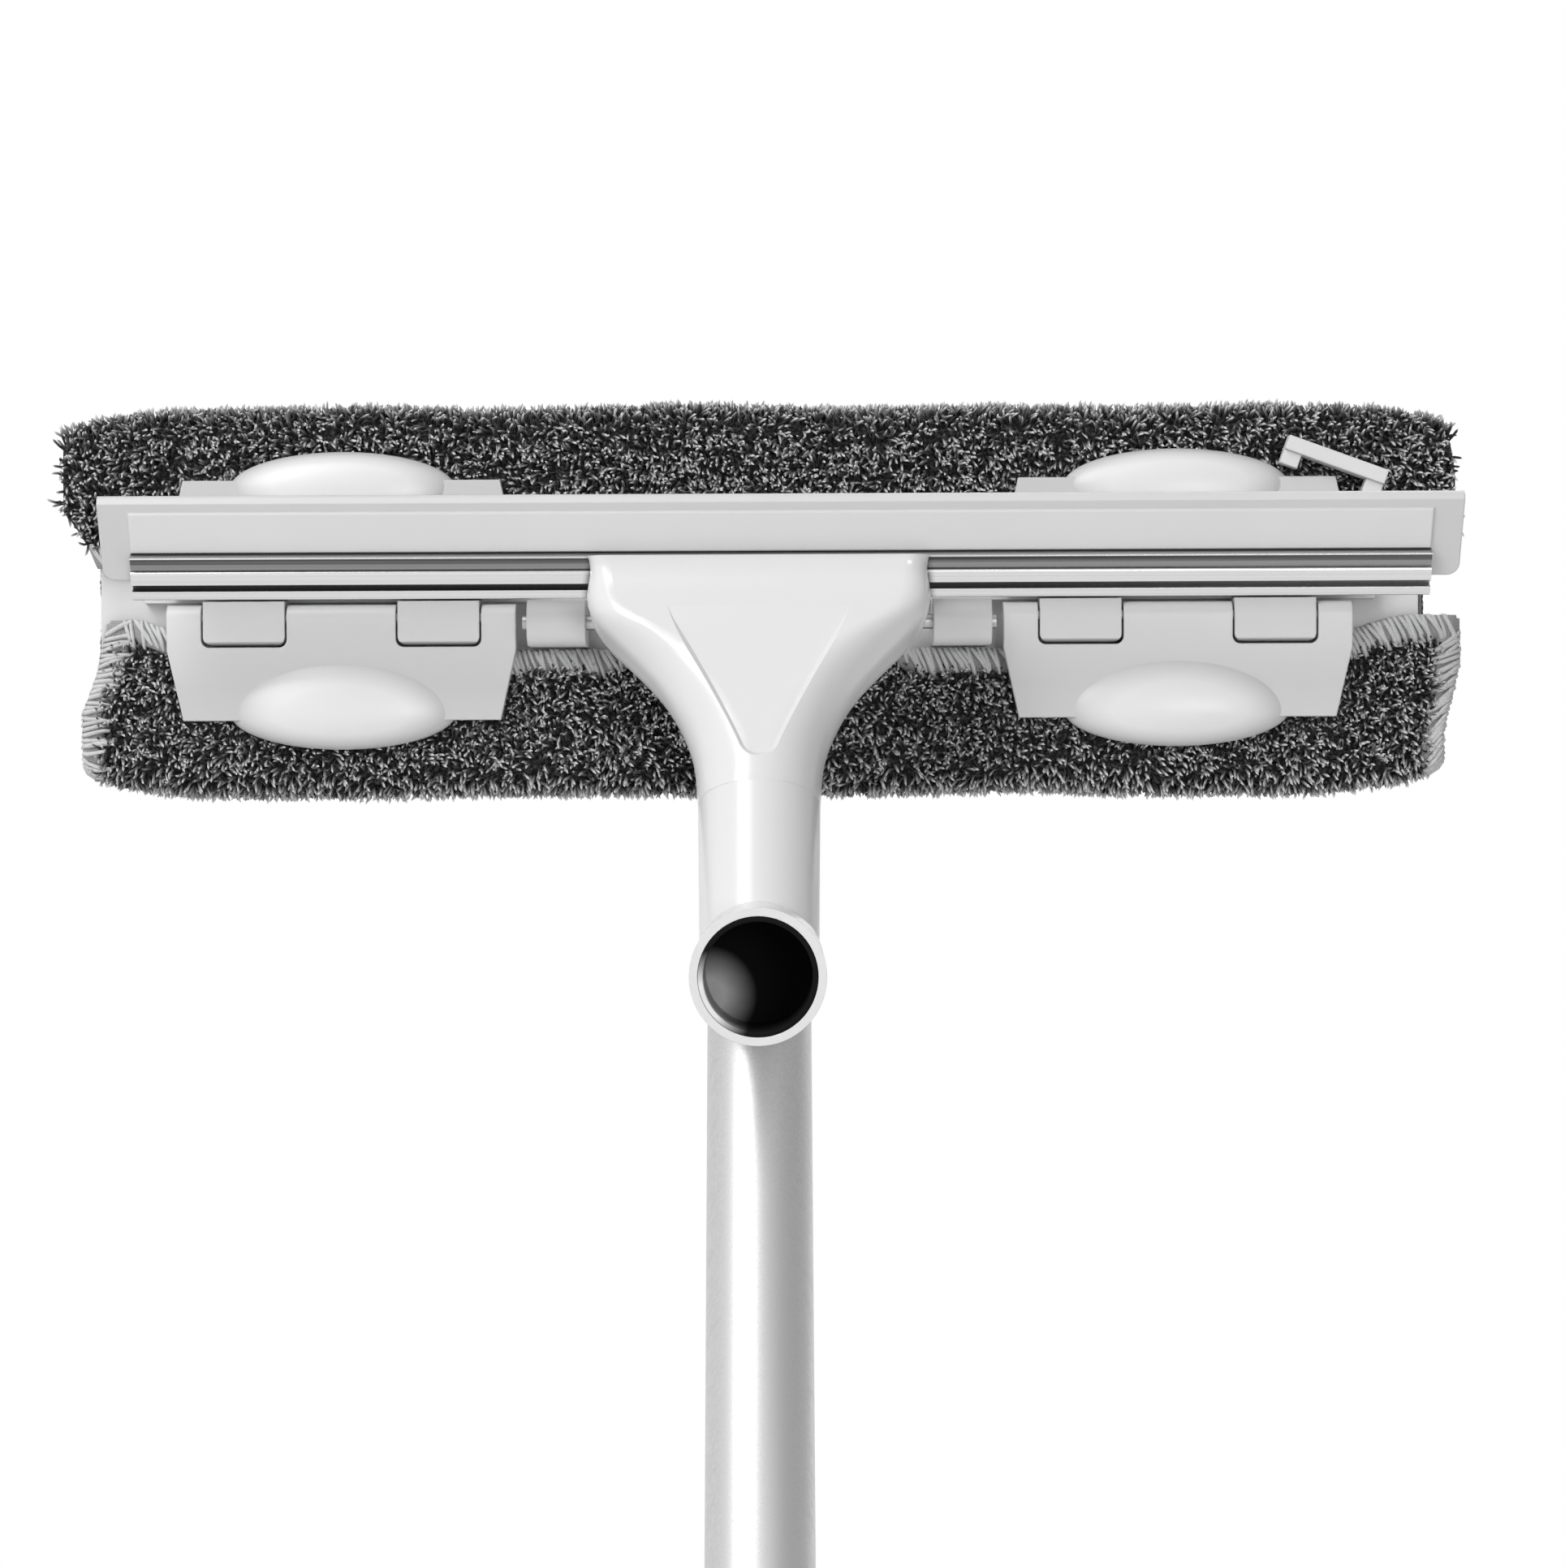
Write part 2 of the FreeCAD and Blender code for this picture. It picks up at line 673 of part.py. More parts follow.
def pole_upper_tube():
    """Inner tube of the pole, from the neck's socket into the outer tube."""
    bore = pole_run(pole_radius - pole_wall, pole_start - overrun, pole_end + overrun)
    return along_pole(pole_run(pole_radius, pole_start, pole_end).cut(bore))


def guide_plug():
    """Plug in the inner tube's lower end, whose flange runs in the outer tube."""
    flange = pole_run(outer_radius - outer_wall - running_gap, pole_end, pole_end + plug_flange)
    spigot = pole_run(pole_radius - pole_wall - seat_gap, pole_end - plug_spigot, pole_end)
    return along_pole(flange.fuse(spigot).removeSplitter())


def lock_collet():
    """Sleeve on the outer tube's top that guides the inner tube, with a shoulder below the collar."""
    sleeve = pole_run(collet_radius, collet_start, outer_start)
    shoulder_start = outer_start + collet_seat - collet_flange_length
    shoulder = pole_run(collet_flange_radius, shoulder_start, outer_start + collet_seat)
    collet = sleeve.fuse(shoulder)
    collet = collet.cut(pole_run(pole_radius + running_gap, collet_start - overrun, outer_start))
    collet = collet.cut(pole_run(outer_radius + seat_gap, outer_start, outer_start + collet_seat + overrun))
    return along_pole(collet.removeSplitter())


def lock_collar():
    """Fluted collar that turns on the collet."""
    end = outer_start + collet_seat - collet_flange_length - collar_end_gap
    lid_end = collet_start - collar_end_gap
    collar = pole_run(collar_radius, collar_start, end)
    collar = collar.cut(pole_run(collet_radius + running_gap, lid_end, end + overrun))
    collar = collar.cut(pole_run(pole_radius + soft_gap, collar_start - overrun, lid_end + overrun))
    for index in range(collar_flutes):
        flute = pole_run(collar_flute_radius, collar_start + collar_lid, end + overrun)
        flute.translate(Vector(collar_radius, 0, 0))
        flute.rotate(MIDDLE, UP, 360 * index / collar_flutes)
        collar = collar.cut(flute)
    return along_pole(collar)


def pole_lower_tube():
    """Outer tube of the pole."""
    bore = pole_run(outer_radius - outer_wall, outer_start - overrun, outer_end + overrun)
    return along_pole(pole_run(outer_radius, outer_start, outer_end).cut(bore))


def grip_sleeve():
    """Soft grip on the outer tube, with rounded ends and rings pressed into it."""
    end = outer_end - grip_end_margin
    start = end - grip_length
    grip = pole_run(grip_radius, start, end)
    rims = [edge for edge in grip.Edges if len(edge.Vertexes) == 1]
    grip = grip.makeFillet(grip_end_round, rims)
    pitch = grip_length / (grip_grooves + 1)
    for index in range(grip_grooves):
        centre = Vector(0, 0, -start - pitch * (index + 1))
        grip = grip.cut(Part.makeTorus(grip_radius, grip_groove_radius, centre, UP))
    return along_pole(grip.cut(pole_run(outer_radius + seat_gap, start - overrun, end + overrun)))


def hang_hole_drop():
    """Distance of the hanging hole down the pole."""
    return outer_end + cap_length + tab_length - tab_width / 2


def end_cap():
    """Cap that plugs the outer tube, with a round-ended tab and a hole to hang the tool by."""
    cap = pole_run(outer_radius, outer_end, outer_end + cap_length)
    lower_rim = [edge for edge in cap.Edges if len(edge.Vertexes) == 1 and edge.CenterOfMass.z < -outer_end]
    cap = cap.makeFillet(cap_round, lower_rim)
    spigot = pole_run(outer_radius - outer_wall - seat_gap, outer_end - cap_spigot, outer_end)
    drop = hang_hole_drop()
    half_tab = Vector(tab_thickness / 2, tab_width / 2, 0)
    tab = slab(Vector(0, 0, -drop) - half_tab, Vector(0, 0, -outer_end) + half_tab)
    round_end = bar(tab_width / 2, tab_thickness, Vector(0, 0, -drop), ACROSS)
    cap = cap.fuse([spigot, tab, round_end])
    cap = cap.cut(bar(hang_hole_radius, tab_thickness + overrun, Vector(0, 0, -drop), ACROSS))
    return along_pole(cap.removeSplitter())


def nodes():
    """Every piece by name, in its place about the plate."""
    pieces = {
        "head_plate": head_plate(),
        "foam_cushion": foam_cushion(),
        "scrub_cloth": scrub_cloth(),
        "corner_tag": corner_tag(),
        "clip_pins": clip_pins(),
        "tilt_axle": tilt_axle(),
        "neck_body": neck_body(),
        "socket_liner": socket_liner(),
        "channel_screws": channel_screws(),
        "squeegee_channel": squeegee_channel(),
        "squeegee_rubber": squeegee_rubber(),
        "pole_upper_tube": pole_upper_tube(),
        "guide_plug": guide_plug(),
        "lock_collet": lock_collet(),
        "lock_collar": lock_collar(),
        "pole_lower_tube": pole_lower_tube(),
        "grip_sleeve": grip_sleeve(),
        "end_cap": end_cap(),
    }
    for side, level, name in clip_places():
        pieces["clip_" + name] = set_on_clip(clip_flap(), side, level)
    return pieces


os.makedirs("parts", exist_ok=True)
for node, shape in nodes().items():
    shape.translate(Vector(0, socket_reach, socket_drop))
    shape.exportStep("parts/" + node + ".step")
    print(node, len(shape.Solids), shape.isValid(), round(shape.Volume))
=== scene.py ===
"""Looks of the window scrubber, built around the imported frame.

Metres, +X across the head, +Y from the user to the cloth's face, +Z up.
"""
import math

import bpy
from mathutils import Euler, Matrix, Vector, noise as bumps


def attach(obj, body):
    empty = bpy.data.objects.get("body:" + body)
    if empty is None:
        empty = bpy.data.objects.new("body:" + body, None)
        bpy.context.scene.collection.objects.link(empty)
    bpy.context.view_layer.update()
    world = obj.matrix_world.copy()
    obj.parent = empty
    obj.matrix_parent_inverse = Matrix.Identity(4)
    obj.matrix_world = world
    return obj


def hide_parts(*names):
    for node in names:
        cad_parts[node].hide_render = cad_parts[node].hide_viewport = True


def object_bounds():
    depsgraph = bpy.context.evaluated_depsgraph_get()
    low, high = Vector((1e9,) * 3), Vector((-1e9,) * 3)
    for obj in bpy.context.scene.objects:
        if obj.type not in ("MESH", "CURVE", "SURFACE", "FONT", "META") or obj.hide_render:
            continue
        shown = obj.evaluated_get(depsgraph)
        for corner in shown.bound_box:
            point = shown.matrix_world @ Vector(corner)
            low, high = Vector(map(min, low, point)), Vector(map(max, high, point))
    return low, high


MM = 0.001

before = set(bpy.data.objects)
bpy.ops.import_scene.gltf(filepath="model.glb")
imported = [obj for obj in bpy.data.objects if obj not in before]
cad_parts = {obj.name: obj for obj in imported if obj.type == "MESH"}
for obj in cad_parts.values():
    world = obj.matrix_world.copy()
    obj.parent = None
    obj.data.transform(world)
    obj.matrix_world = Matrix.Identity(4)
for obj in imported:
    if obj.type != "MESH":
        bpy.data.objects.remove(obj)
cad_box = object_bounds()

# The camera stands where the photograph was taken from
CAMERA_PLACE = Vector((0.0044, -0.648, 0.0334))
CAMERA_ROLL = math.radians(0.25)
FILM_HEIGHT = 24.0
VIEW_HEIGHT_PER_DISTANCE = 0.4192

# Surroundings' strength, and the room between the floor and the pole drawn right out
WORLD_LEVEL = 0.5
FLOOR_GAP = 0.5 * MM

# The pole and the squeegee lean towards the user, and the pole draws out
POLE_LEAN = math.radians(27.0)
POLE_DRAW = 110.0 * MM
CHANNEL_LEAN = math.radians(28.0)
CHANNEL_MIDDLE = Vector((4.3, 77.0, 74.9)) * MM
CHANNEL_FRONT = Vector((0.0, -math.cos(CHANNEL_LEAN), -math.sin(CHANNEL_LEAN)))
CHANNEL_UP = Vector((0.0, -math.sin(CHANNEL_LEAN), math.cos(CHANNEL_LEAN)))

# Depths and heights on the squeegee, from the channel's middle, where one painted shade passes into the next
GROOVE_BOTTOM = (1.5 * MM, 1.7 * MM)
GROOVE_MOUTH = (3.0 * MM, 3.3 * MM)
GROOVE_FLOOR = (1.6 * MM, 2.6 * MM)
GROOVE_SHADOW_LINE = (2.7 * MM, 2.9 * MM)
CHANNEL_TOP = (4.3 * MM, 4.4 * MM)
BLADE_LAND = (1.4 * MM, 1.49 * MM)

# Height of the pad's middle and, from there, of the clips' pins
PAD_LEVEL = 70.25 * MM
CLIP_PIN_LEVEL = 3.45 * MM

# Clips' flaps: length, +Y of the front at both ends, where painted shade darkens them, and how proud the
# highlit lips stand
CLIP_REACH = 20.4 * MM
FLAP_FRONT = (93.4 * MM, 94.9 * MM)
FLAP_SHADE = (1.0 * MM, 14.0 * MM)
LIP_PROUD = (0.1 * MM, 2.2 * MM)

# Painted light in the socket: the pale spot's middle, seen along +Y, and the distances over which it fades
GLOW_SPOT = (-9.2 * MM, 0.0, -4.4 * MM)
GLOW_REACH = (3.2 * MM, 9.0 * MM)


# Shader groups

def new_group(name, inputs, outputs):
    """Shader node group with number or colour sockets, and its two end nodes."""
    group = bpy.data.node_groups.new(name, "ShaderNodeTree")
    for direction, sockets in (("INPUT", inputs), ("OUTPUT", outputs)):
        for label, value in sockets.items():
            kind = "NodeSocketFloat"
            if isinstance(value, tuple):
                kind = "NodeSocketVector" if len(value) == 3 else "NodeSocketColor"
            socket = group.interface.new_socket(label, in_out=direction, socket_type=kind)
            if direction == "INPUT":
                socket.default_value = value
    return group, group.nodes.new("NodeGroupInput"), group.nodes.new("NodeGroupOutput")


def add_node(tree, kind, links=(), **settings):
    """Node with its settings; links are (input name or number, other socket) pairs."""
    node = tree.nodes.new(kind)
    for key, value in settings.items():
        setattr(node, key, value)
    for slot_name, source in links:
        if hasattr(source, "is_output"):
            tree.links.new(source, node.inputs[slot_name])
        else:
            node.inputs[slot_name].default_value = source
    return node


def sum_of(tree, operation, first, second):
    """Math node's result."""
    return add_node(tree, "ShaderNodeMath", [(0, first), (1, second)], operation=operation).outputs[0]


def vector_sum(tree, first, second, operation="ADD"):
    """Vector math node's result."""
    links = [(0, first), (1, second)]
    return add_node(tree, "ShaderNodeVectorMath", links, operation=operation).outputs[0]


def spread(tree, source, low, high, to_low=0.0, to_high=1.0):
    """Source mapped from one range to another, held inside it."""
    links = [("Value", source), (1, low), (2, high), (3, to_low), (4, to_high)]
    return add_node(tree, "ShaderNodeMapRange", links).outputs[0]


def noise(tree, place, scale, detail=2.0, roughness=0.5):
    """Noise texture's value."""
    links = [("Vector", place), ("Scale", scale), ("Detail", detail), ("Roughness", roughness)]
    return add_node(tree, "ShaderNodeTexNoise", links).outputs["Fac"]


def tinted(tree, mask, first, second):
    """Mix of two colours by a mask."""
    links = [("Factor_Float", mask), ("A_Color", first), ("B_Color", second)]
    mix = add_node(tree, "ShaderNodeMix", data_type="RGBA")
    sockets = {socket.identifier: socket for socket in mix.inputs}
    for label, source in links:
        if hasattr(source, "is_output"):
            tree.links.new(source, sockets[label])
        else:
            sockets[label].default_value = source
    return next(socket for socket in mix.outputs if socket.identifier == "Result_Color")


def moulded_group():
    """Moulded plastic: faint flow marks in its colour, fine grain, and dust that settles in corners."""
    group, start, end = new_group(
        "moulded surface",
        {"Place": (0.0, 0.0, 0.0), "Colour": (0.8, 0.8, 0.8, 1.0), "Dust": (0.4, 0.4, 0.4, 1.0),
         "Roughness": 0.3, "Grain": 900.0, "Dust amount": 0.3},
        {"Colour": (0.0, 0.0, 0.0, 1.0), "Roughness": 0.0, "Height": 0.0},
    )
    place = start.outputs["Place"]
    flow = noise(group, place, 26.0, 3.0)
    flow_mask = spread(group, flow, 0.2, 0.8, 0.0, 0.08)
    darker = tinted(group, flow_mask, start.outputs["Colour"], start.outputs["Dust"])
    hidden = add_node(group, "ShaderNodeAmbientOcclusion", [("Distance", 4 * MM)], samples=6)
    shade = spread(group, hidden.outputs["AO"], 0.35, 0.9, 1.0, 0.0)
    dusty = sum_of(group, "MULTIPLY", shade, start.outputs["Dust amount"])
    group.links.new(tinted(group, dusty, darker, start.outputs["Dust"]), end.inputs["Colour"])
    grain = noise(group, place, start.outputs["Grain"], 2.0)
    group.links.new(grain, end.inputs["Height"])
    smudge = noise(group, place, 60.0, 4.0, 0.6)
    rubbed = spread(group, smudge, 0.2, 0.8, -0.02, 0.04)
    group.links.new(sum_of(group, "ADD", start.outputs["Roughness"], rubbed), end.inputs["Roughness"])
    return group


def drawn_metal_group():
    """Drawn metal: fine lines along one axis, a few deeper ones, and painted shade that darkens its grooves.
    """
    group, start, end = new_group(
        "drawn metal",
        {"Place": (0.0, 0.0, 0.0), "Colour": (0.7, 0.7, 0.7, 1.0), "Line colour": (0.4, 0.4, 0.4, 1.0),
         "Dirt": (0.03, 0.03, 0.03, 1.0), "Roughness": 0.25, "Dirt amount": 0.2},
        {"Colour": (0.0, 0.0, 0.0, 1.0), "Roughness": 0.0, "Height": 0.0},
    )
    place = start.outputs["Place"]
    fine = noise(group, place, 1.0, 3.0, 0.7)
    coarse = noise(group, place, 0.2, 2.0)
    depth = spread(group, fine, 0.35, 0.7)
    streak = sum_of(group, "MULTIPLY", spread(group, coarse, 0.5, 0.75), 0.4)
    mask = sum_of(group, "MULTIPLY", sum_of(group, "ADD", depth, streak), 0.35)
    lined = tinted(group, mask, start.outputs["Colour"], start.outputs["Line colour"])
    # Painted shade: the colour goes dark where the surface is hemmed in, in grooves and corners
    hidden = add_node(group, "ShaderNodeAmbientOcclusion", [("Distance", 1.6 * MM)], samples=6)
    shade = spread(group, hidden.outputs["AO"], 0.45, 0.92, 1.0, 0.0)
    painted_shade = sum_of(group, "MULTIPLY", shade, start.outputs["Dirt amount"])
    group.links.new(tinted(group, painted_shade, lined, start.outputs["Dirt"]), end.inputs["Colour"])
    group.links.new(
        sum_of(group, "ADD", start.outputs["Roughness"], sum_of(group, "MULTIPLY", mask, 0.35)),
        end.inputs["Roughness"],
    )
    group.links.new(fine, end.inputs["Height"])
    return group


MOULDED = moulded_group()
DRAWN = drawn_metal_group()


# Finishes

def grey(level):
    """Opaque grey."""
    return (level, level, level, 1.0)


def new_finish(name, **shader):
    """Material with a Principled shader; shader gives its plain sockets."""
    finish = bpy.data.materials.new(name)
    finish.use_nodes = True
    tree = finish.node_tree
    principled = tree.nodes["Principled BSDF"]
    for label, value in shader.items():
        principled.inputs[label.replace("_", " ")].default_value = value
    return finish, tree, principled


def surface(finish_parts, group, depth, edge=0.0, **values):
    """Lay a shader group over the Principled shader of a finish, with bump and edges that look rounded."""
    finish, tree, principled = finish_parts
    layer = tree.nodes.new("ShaderNodeGroup")
    layer.node_tree = group
    place = values.pop("place", None)
    if place is None:
        place = tree.nodes.new("ShaderNodeTexCoord").outputs["Object"]
    tree.links.new(place, layer.inputs["Place"])
    for label, value in values.items():
        layer.inputs[label.replace("_", " ")].default_value = value
    tree.links.new(layer.outputs["Colour"], principled.inputs["Base Color"])
    tree.links.new(layer.outputs["Roughness"], principled.inputs["Roughness"])
    links = [("Height", layer.outputs["Height"]), ("Strength", 0.6), ("Distance", depth)]
    if edge:
        rounded = add_node(tree, "ShaderNodeBevel", [("Radius", edge)], samples=6)
        links.append(("Normal", rounded.outputs["Normal"]))
    bump = add_node(tree, "ShaderNodeBump", links)
    tree.links.new(bump.outputs["Normal"], principled.inputs["Normal"])
    return finish


def turned_place(tree, turn, scale):
    """Object coordinates turned about X and stretched, for lines that run along a leaning piece."""
    place = tree.nodes.new("ShaderNodeTexCoord").outputs["Object"]
    turn_node = add_node(tree, "ShaderNodeMapping", [("Vector", place), ("Rotation", (turn, 0.0, 0.0))])
    stretch = add_node(tree, "ShaderNodeMapping", [("Vector", turn_node.outputs[0]), ("Scale", scale)])
    return stretch.outputs[0]


def moulded(name, level, dust, roughness, grain=900.0, depth=0.02, dust_amount=0.3, edge=0.45, **shader):
    """Moulded plastic of one grey."""
    parts = new_finish(name, **shader)
    return surface(
        parts, MOULDED, depth * MM, edge * MM, Colour=grey(level), Dust=grey(dust),
        Roughness=roughness, Grain=grain, Dust_amount=dust_amount,
    )


def drawn_metal(name, level, line, roughness, turn, scale, dirt_amount=0.2, **shader):
    """Metal with lines along one axis, and painted shade in its grooves."""
    parts = new_finish(name, Metallic=1.0, **shader)
    place = turned_place(parts[1], turn, scale)
    return surface(
        parts, DRAWN, 0.01 * MM, 0.15 * MM, place=place, Colour=grey(level), Line_colour=grey(line),
        Roughness=roughness, Dirt_amount=dirt_amount,
    )


white_gloss = moulded(
    "white gloss plastic", 0.83, 0.6, 0.24, 500.0, 0.012, 0.25, 0.15, Coat_Weight=0.25, Coat_Roughness=0.08,
)
clip_satin = moulded("satin clip plastic", 0.84, 0.5, 0.32, 700.0, 0.015, 0.35)
plate_matt = moulded("matt plate plastic", 0.84, 0.45, 0.42, 800.0, 0.02, 0.4)
# Painted shade: the socket's inside is near black so that it reads as the deep shade of the bore
liner_black_shade = moulded("black socket plastic", 0.003, 0.01, 0.75, 600.0, 0.01, 0.2, Specular_IOR_Level=0.15)
plug_black = moulded("black guide plastic", 0.02, 0.05, 0.45)
lock_grey = moulded("grey lock plastic", 0.42, 0.25, 0.4, 900.0, 0.03, 0.4)
grip_dark = moulded("dark grip rubber", 0.06, 0.12, 0.62, 1500.0, 0.12, 0.4, Sheen_Weight=0.15)
blade_pale = moulded("pale blade rubber", 0.78, 0.55, 0.38, 1100.0, 0.012, 0.25)
foam_pale = moulded("pale foam", 0.62, 0.4, 0.85, 1400.0, 0.25, 0.4)
# The channel gets strong painted shade in its grooves
channel_bright = drawn_metal("bright drawn aluminium", 0.82, 0.55, 0.16, 0.0, (4.0, 5200.0, 5200.0), 0.92)
pole_satin = drawn_metal("satin pole aluminium", 0.67, 0.45, 0.36, -POLE_LEAN, (2600.0, 2600.0, 9.0))
pin_steel = drawn_metal("plated steel", 0.58, 0.35, 0.28, 0.0, (40.0, 3000.0, 3000.0))


def along(tree, place, direction):
    """Distance of a place along a direction."""
    links = [(0, place), (1, direction)]
    return add_node(tree, "ShaderNodeVectorMath", links, operation="DOT_PRODUCT").outputs["Value"]


def finish_layer(finish):
    """Node tree of a finish and the shader group laid over it."""
    tree = finish.node_tree
    return tree, next(node for node in tree.nodes if node.type == "GROUP")


def squeegee_place(finish):
    """Shader layer of a squeegee finish, with the surface's depth and height on the leaning squeegee."""
    tree, layer = finish_layer(finish)
    place = tree.nodes.new("ShaderNodeTexCoord").outputs["Object"]
    centred = vector_sum(tree, place, CHANNEL_MIDDLE, "SUBTRACT")
    return tree, layer, along(tree, centred, CHANNEL_FRONT), along(tree, centred, CHANNEL_UP)


def paint_groove_shade(finish):
    """Paint shade into the channel: grey groove floors, darker towards the top, a painted shadow line along
    the wide one, and a grey top face under the blade.
    """
    tree, layer, depth, level = squeegee_place(finish)
    below_face = spread(tree, depth, *GROOVE_MOUTH, 1.0, 0.0)
    above_core = spread(tree, depth, *GROOVE_BOTTOM)
    sunk = sum_of(tree, "MULTIPLY", below_face, above_core)
    # Painted shade: grey floors, a near-black shadow line above them, and a grey top face shaded by the blade
    floor = tinted(tree, spread(tree, level, *GROOVE_FLOOR), grey(0.36), grey(0.26))
    floor = tinted(tree, spread(tree, level, *GROOVE_SHADOW_LINE), floor, grey(0.04))
    floor = tinted(tree, spread(tree, level, *CHANNEL_TOP), floor, grey(0.5))
    tree.links.new(tinted(tree, sunk, grey(0.82), floor), layer.inputs["Colour"])


def paint_rim_shade(finish):
    """Paint shade on the blade's rim, leaving it a little darker than the land in front of it."""
    tree, layer, depth = squeegee_place(finish)[:3]
    land = spread(tree, depth, *BLADE_LAND)
    # Painted shade: the rim and the land's edge darker, the land itself lighter
    tree.links.new(tinted(tree, land, grey(0.74), grey(0.86)), layer.inputs["Colour"])


def paint_clip_shade_and_highlight(finish):
    """Paint shade on the clips' flaps, darker towards their free edges, and a painted highlight on their
    proud thumb lips.
    """
    tree, layer = finish_layer(finish)
    place = layer.inputs["Place"].links[0].from_socket
    parts = add_node(tree, "ShaderNodeSeparateXYZ", [(0, place)])
    from_middle = sum_of(tree, "ABSOLUTE", sum_of(tree, "SUBTRACT", parts.outputs["Z"], PAD_LEVEL), 0.0)
    along_flap = sum_of(tree, "SUBTRACT", from_middle, CLIP_PIN_LEVEL)
    flap_front = spread(tree, along_flap, 0.0, CLIP_REACH, *FLAP_FRONT)
    proud = sum_of(tree, "SUBTRACT", flap_front, parts.outputs["Y"])
    # Painted shade on the flaps, away from their pins, and a painted highlight where the lips stand proud
    flap = tinted(tree, spread(tree, along_flap, *FLAP_SHADE), grey(0.86), grey(0.67))
    lip_highlight = spread(tree, proud, *LIP_PROUD)
    tree.links.new(tinted(tree, lip_highlight, flap, grey(0.92)), layer.inputs["Colour"])


def paint_socket_glow(finish):
    """Paint a pale patch of light into the socket on its lower left side."""
    tree, layer = finish_layer(finish)
    place = layer.inputs["Place"].links[0].from_socket
    flat = vector_sum(tree, place, (1.0, 0.0, 1.0), "MULTIPLY")
    links = [(0, flat), (1, GLOW_SPOT)]
    away = add_node(tree, "ShaderNodeVectorMath", links, operation="DISTANCE").outputs["Value"]
    # Painted light: the socket goes pale towards its lower left, in small patches
    rubbed = sum_of(tree, "POWER", spread(tree, away, *GLOW_REACH, 1.0, 0.0), 1.3)
    patchy_glow = sum_of(tree, "MULTIPLY", rubbed, spread(tree, noise(tree, place, 420.0), 0.2, 0.7, 0.9, 1.0))
    tree.links.new(tinted(tree, patchy_glow, grey(0.002), grey(0.95)), layer.inputs["Colour"])


paint_groove_shade(channel_bright)
paint_rim_shade(blade_pale)
paint_clip_shade_and_highlight(clip_satin)
paint_socket_glow(liner_black_shade)

NODE_FINISHES = {
    "neck_body": white_gloss,
    "clip_upper_left": clip_satin,
    "clip_upper_right": clip_satin,
    "clip_lower_left": clip_satin,
    "clip_lower_right": clip_satin,
    "corner_tag": plate_matt,
    "head_plate": plate_matt,
    "socket_liner": liner_black_shade,
    "guide_plug": plug_black,
    "lock_collet": lock_grey,
    "lock_collar": lock_grey,
    "end_cap": lock_grey,
    "grip_sleeve": grip_dark,
    "squeegee_rubber": blade_pale,
    "squeegee_channel": channel_bright,
    "pole_upper_tube": pole_satin,
    "pole_lower_tube": pole_satin,
    "clip_pins": pin_steel,
    "tilt_axle": pin_steel,
    "channel_screws": pin_steel,
}
for node, finish in NODE_FINISHES.items():
    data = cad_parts[node].data
    data.materials.clear()
    data.materials.append(finish)


# Cloth: a backing sheet wrapped round the pad, with twisted pile, hems and stitches

PLATE_MIDDLE = Vector((0.0, 102.0, 71.0)) * MM
PAD_MIDDLE = Vector((0.0, 102.0 * MM, PAD_LEVEL))
PAD_HALF_WIDTH = 139.2 * MM
PAD_HALF_HEIGHT = 36.4 * MM
FACE_DEPTH = 13.4 * MM
FLAP_DEPTH = -1.7 * MM
FACE_ROUND = 8.0 * MM
FLAP_ROUND = 3.4 * MM
HEM_LEVEL = 7.0 * MM
LUG_HEM_LEVEL = 10.6 * MM
END_HEM_LEVEL = 4.3 * MM
HIDDEN_HEM_LEVEL = 7.4 * MM
SHEET_THICKNESS = 0.9 * MM
CROWN = 1.2 * MM
SWELL = 0.8 * MM
STATIONS = 160
ROUND_STEPS = 8
FLAP_STEPS = 14
EDGE_STEPS = 4
FACE_STEPS = 34
CLIP_MIDDLE = 83.0 * MM
CLIP_HALF_WIDTH = 35.0 * MM
CLIP_FOOT = 27.0 * MM

# Where the hems change: the clips' lugs from a clip's middle, the hinge's lugs, the room round lugs, the ends
LUG_OFFSET = 19.3 * MM
HINGE_LUG = 40.0 * MM
LUG_ROOM = (10.5 * MM, 14.5 * MM)
HEM_END = (117.0 * MM, 130.0 * MM)


def corner_arc(middle, radius, start, turn):
    """Points of a quarter round, from an angle onwards."""
    angles = (start + turn * step / ROUND_STEPS for step in range(ROUND_STEPS + 1))
    return [(middle[0] + radius * math.cos(a), middle[1] + radius * math.sin(a)) for a in angles]


def straight(start, end, steps):
    """Points strictly between two others."""
    shares = (step / steps for step in range(1, steps))
    return [(start[0] + (end[0] - start[0]) * s, start[1] + (end[1] - start[1]) * s) for s in shares]


def pad_profile(top, face, low_level, up_level):
    """Depth and height of the sheet's outside, from the lower hem round the face to the upper hem."""
    quarter = math.pi / 2
    low_edge = corner_arc((FLAP_DEPTH + FLAP_ROUND, FLAP_ROUND - top), FLAP_ROUND, 2 * quarter, quarter)
    low_face = corner_arc((face - FACE_ROUND, FACE_ROUND - top), FACE_ROUND, -quarter, quarter)
    up_face = [(depth, -level) for depth, level in reversed(low_face)]
    up_edge = [(depth, -level) for depth, level in reversed(low_edge)]
    low_hem = (FLAP_DEPTH, -low_level)
    up_hem = (FLAP_DEPTH, up_level)
    return [
        low_hem, *straight(low_hem, low_edge[0], FLAP_STEPS),
        *low_edge, *straight(low_edge[-1], low_face[0], EDGE_STEPS),
        *low_face, *straight(low_face[-1], up_face[0], FACE_STEPS),
        *up_face, *straight(up_face[-1], up_edge[0], EDGE_STEPS),
        *up_edge, *straight(up_edge[-1], up_hem, FLAP_STEPS), up_hem,
    ]


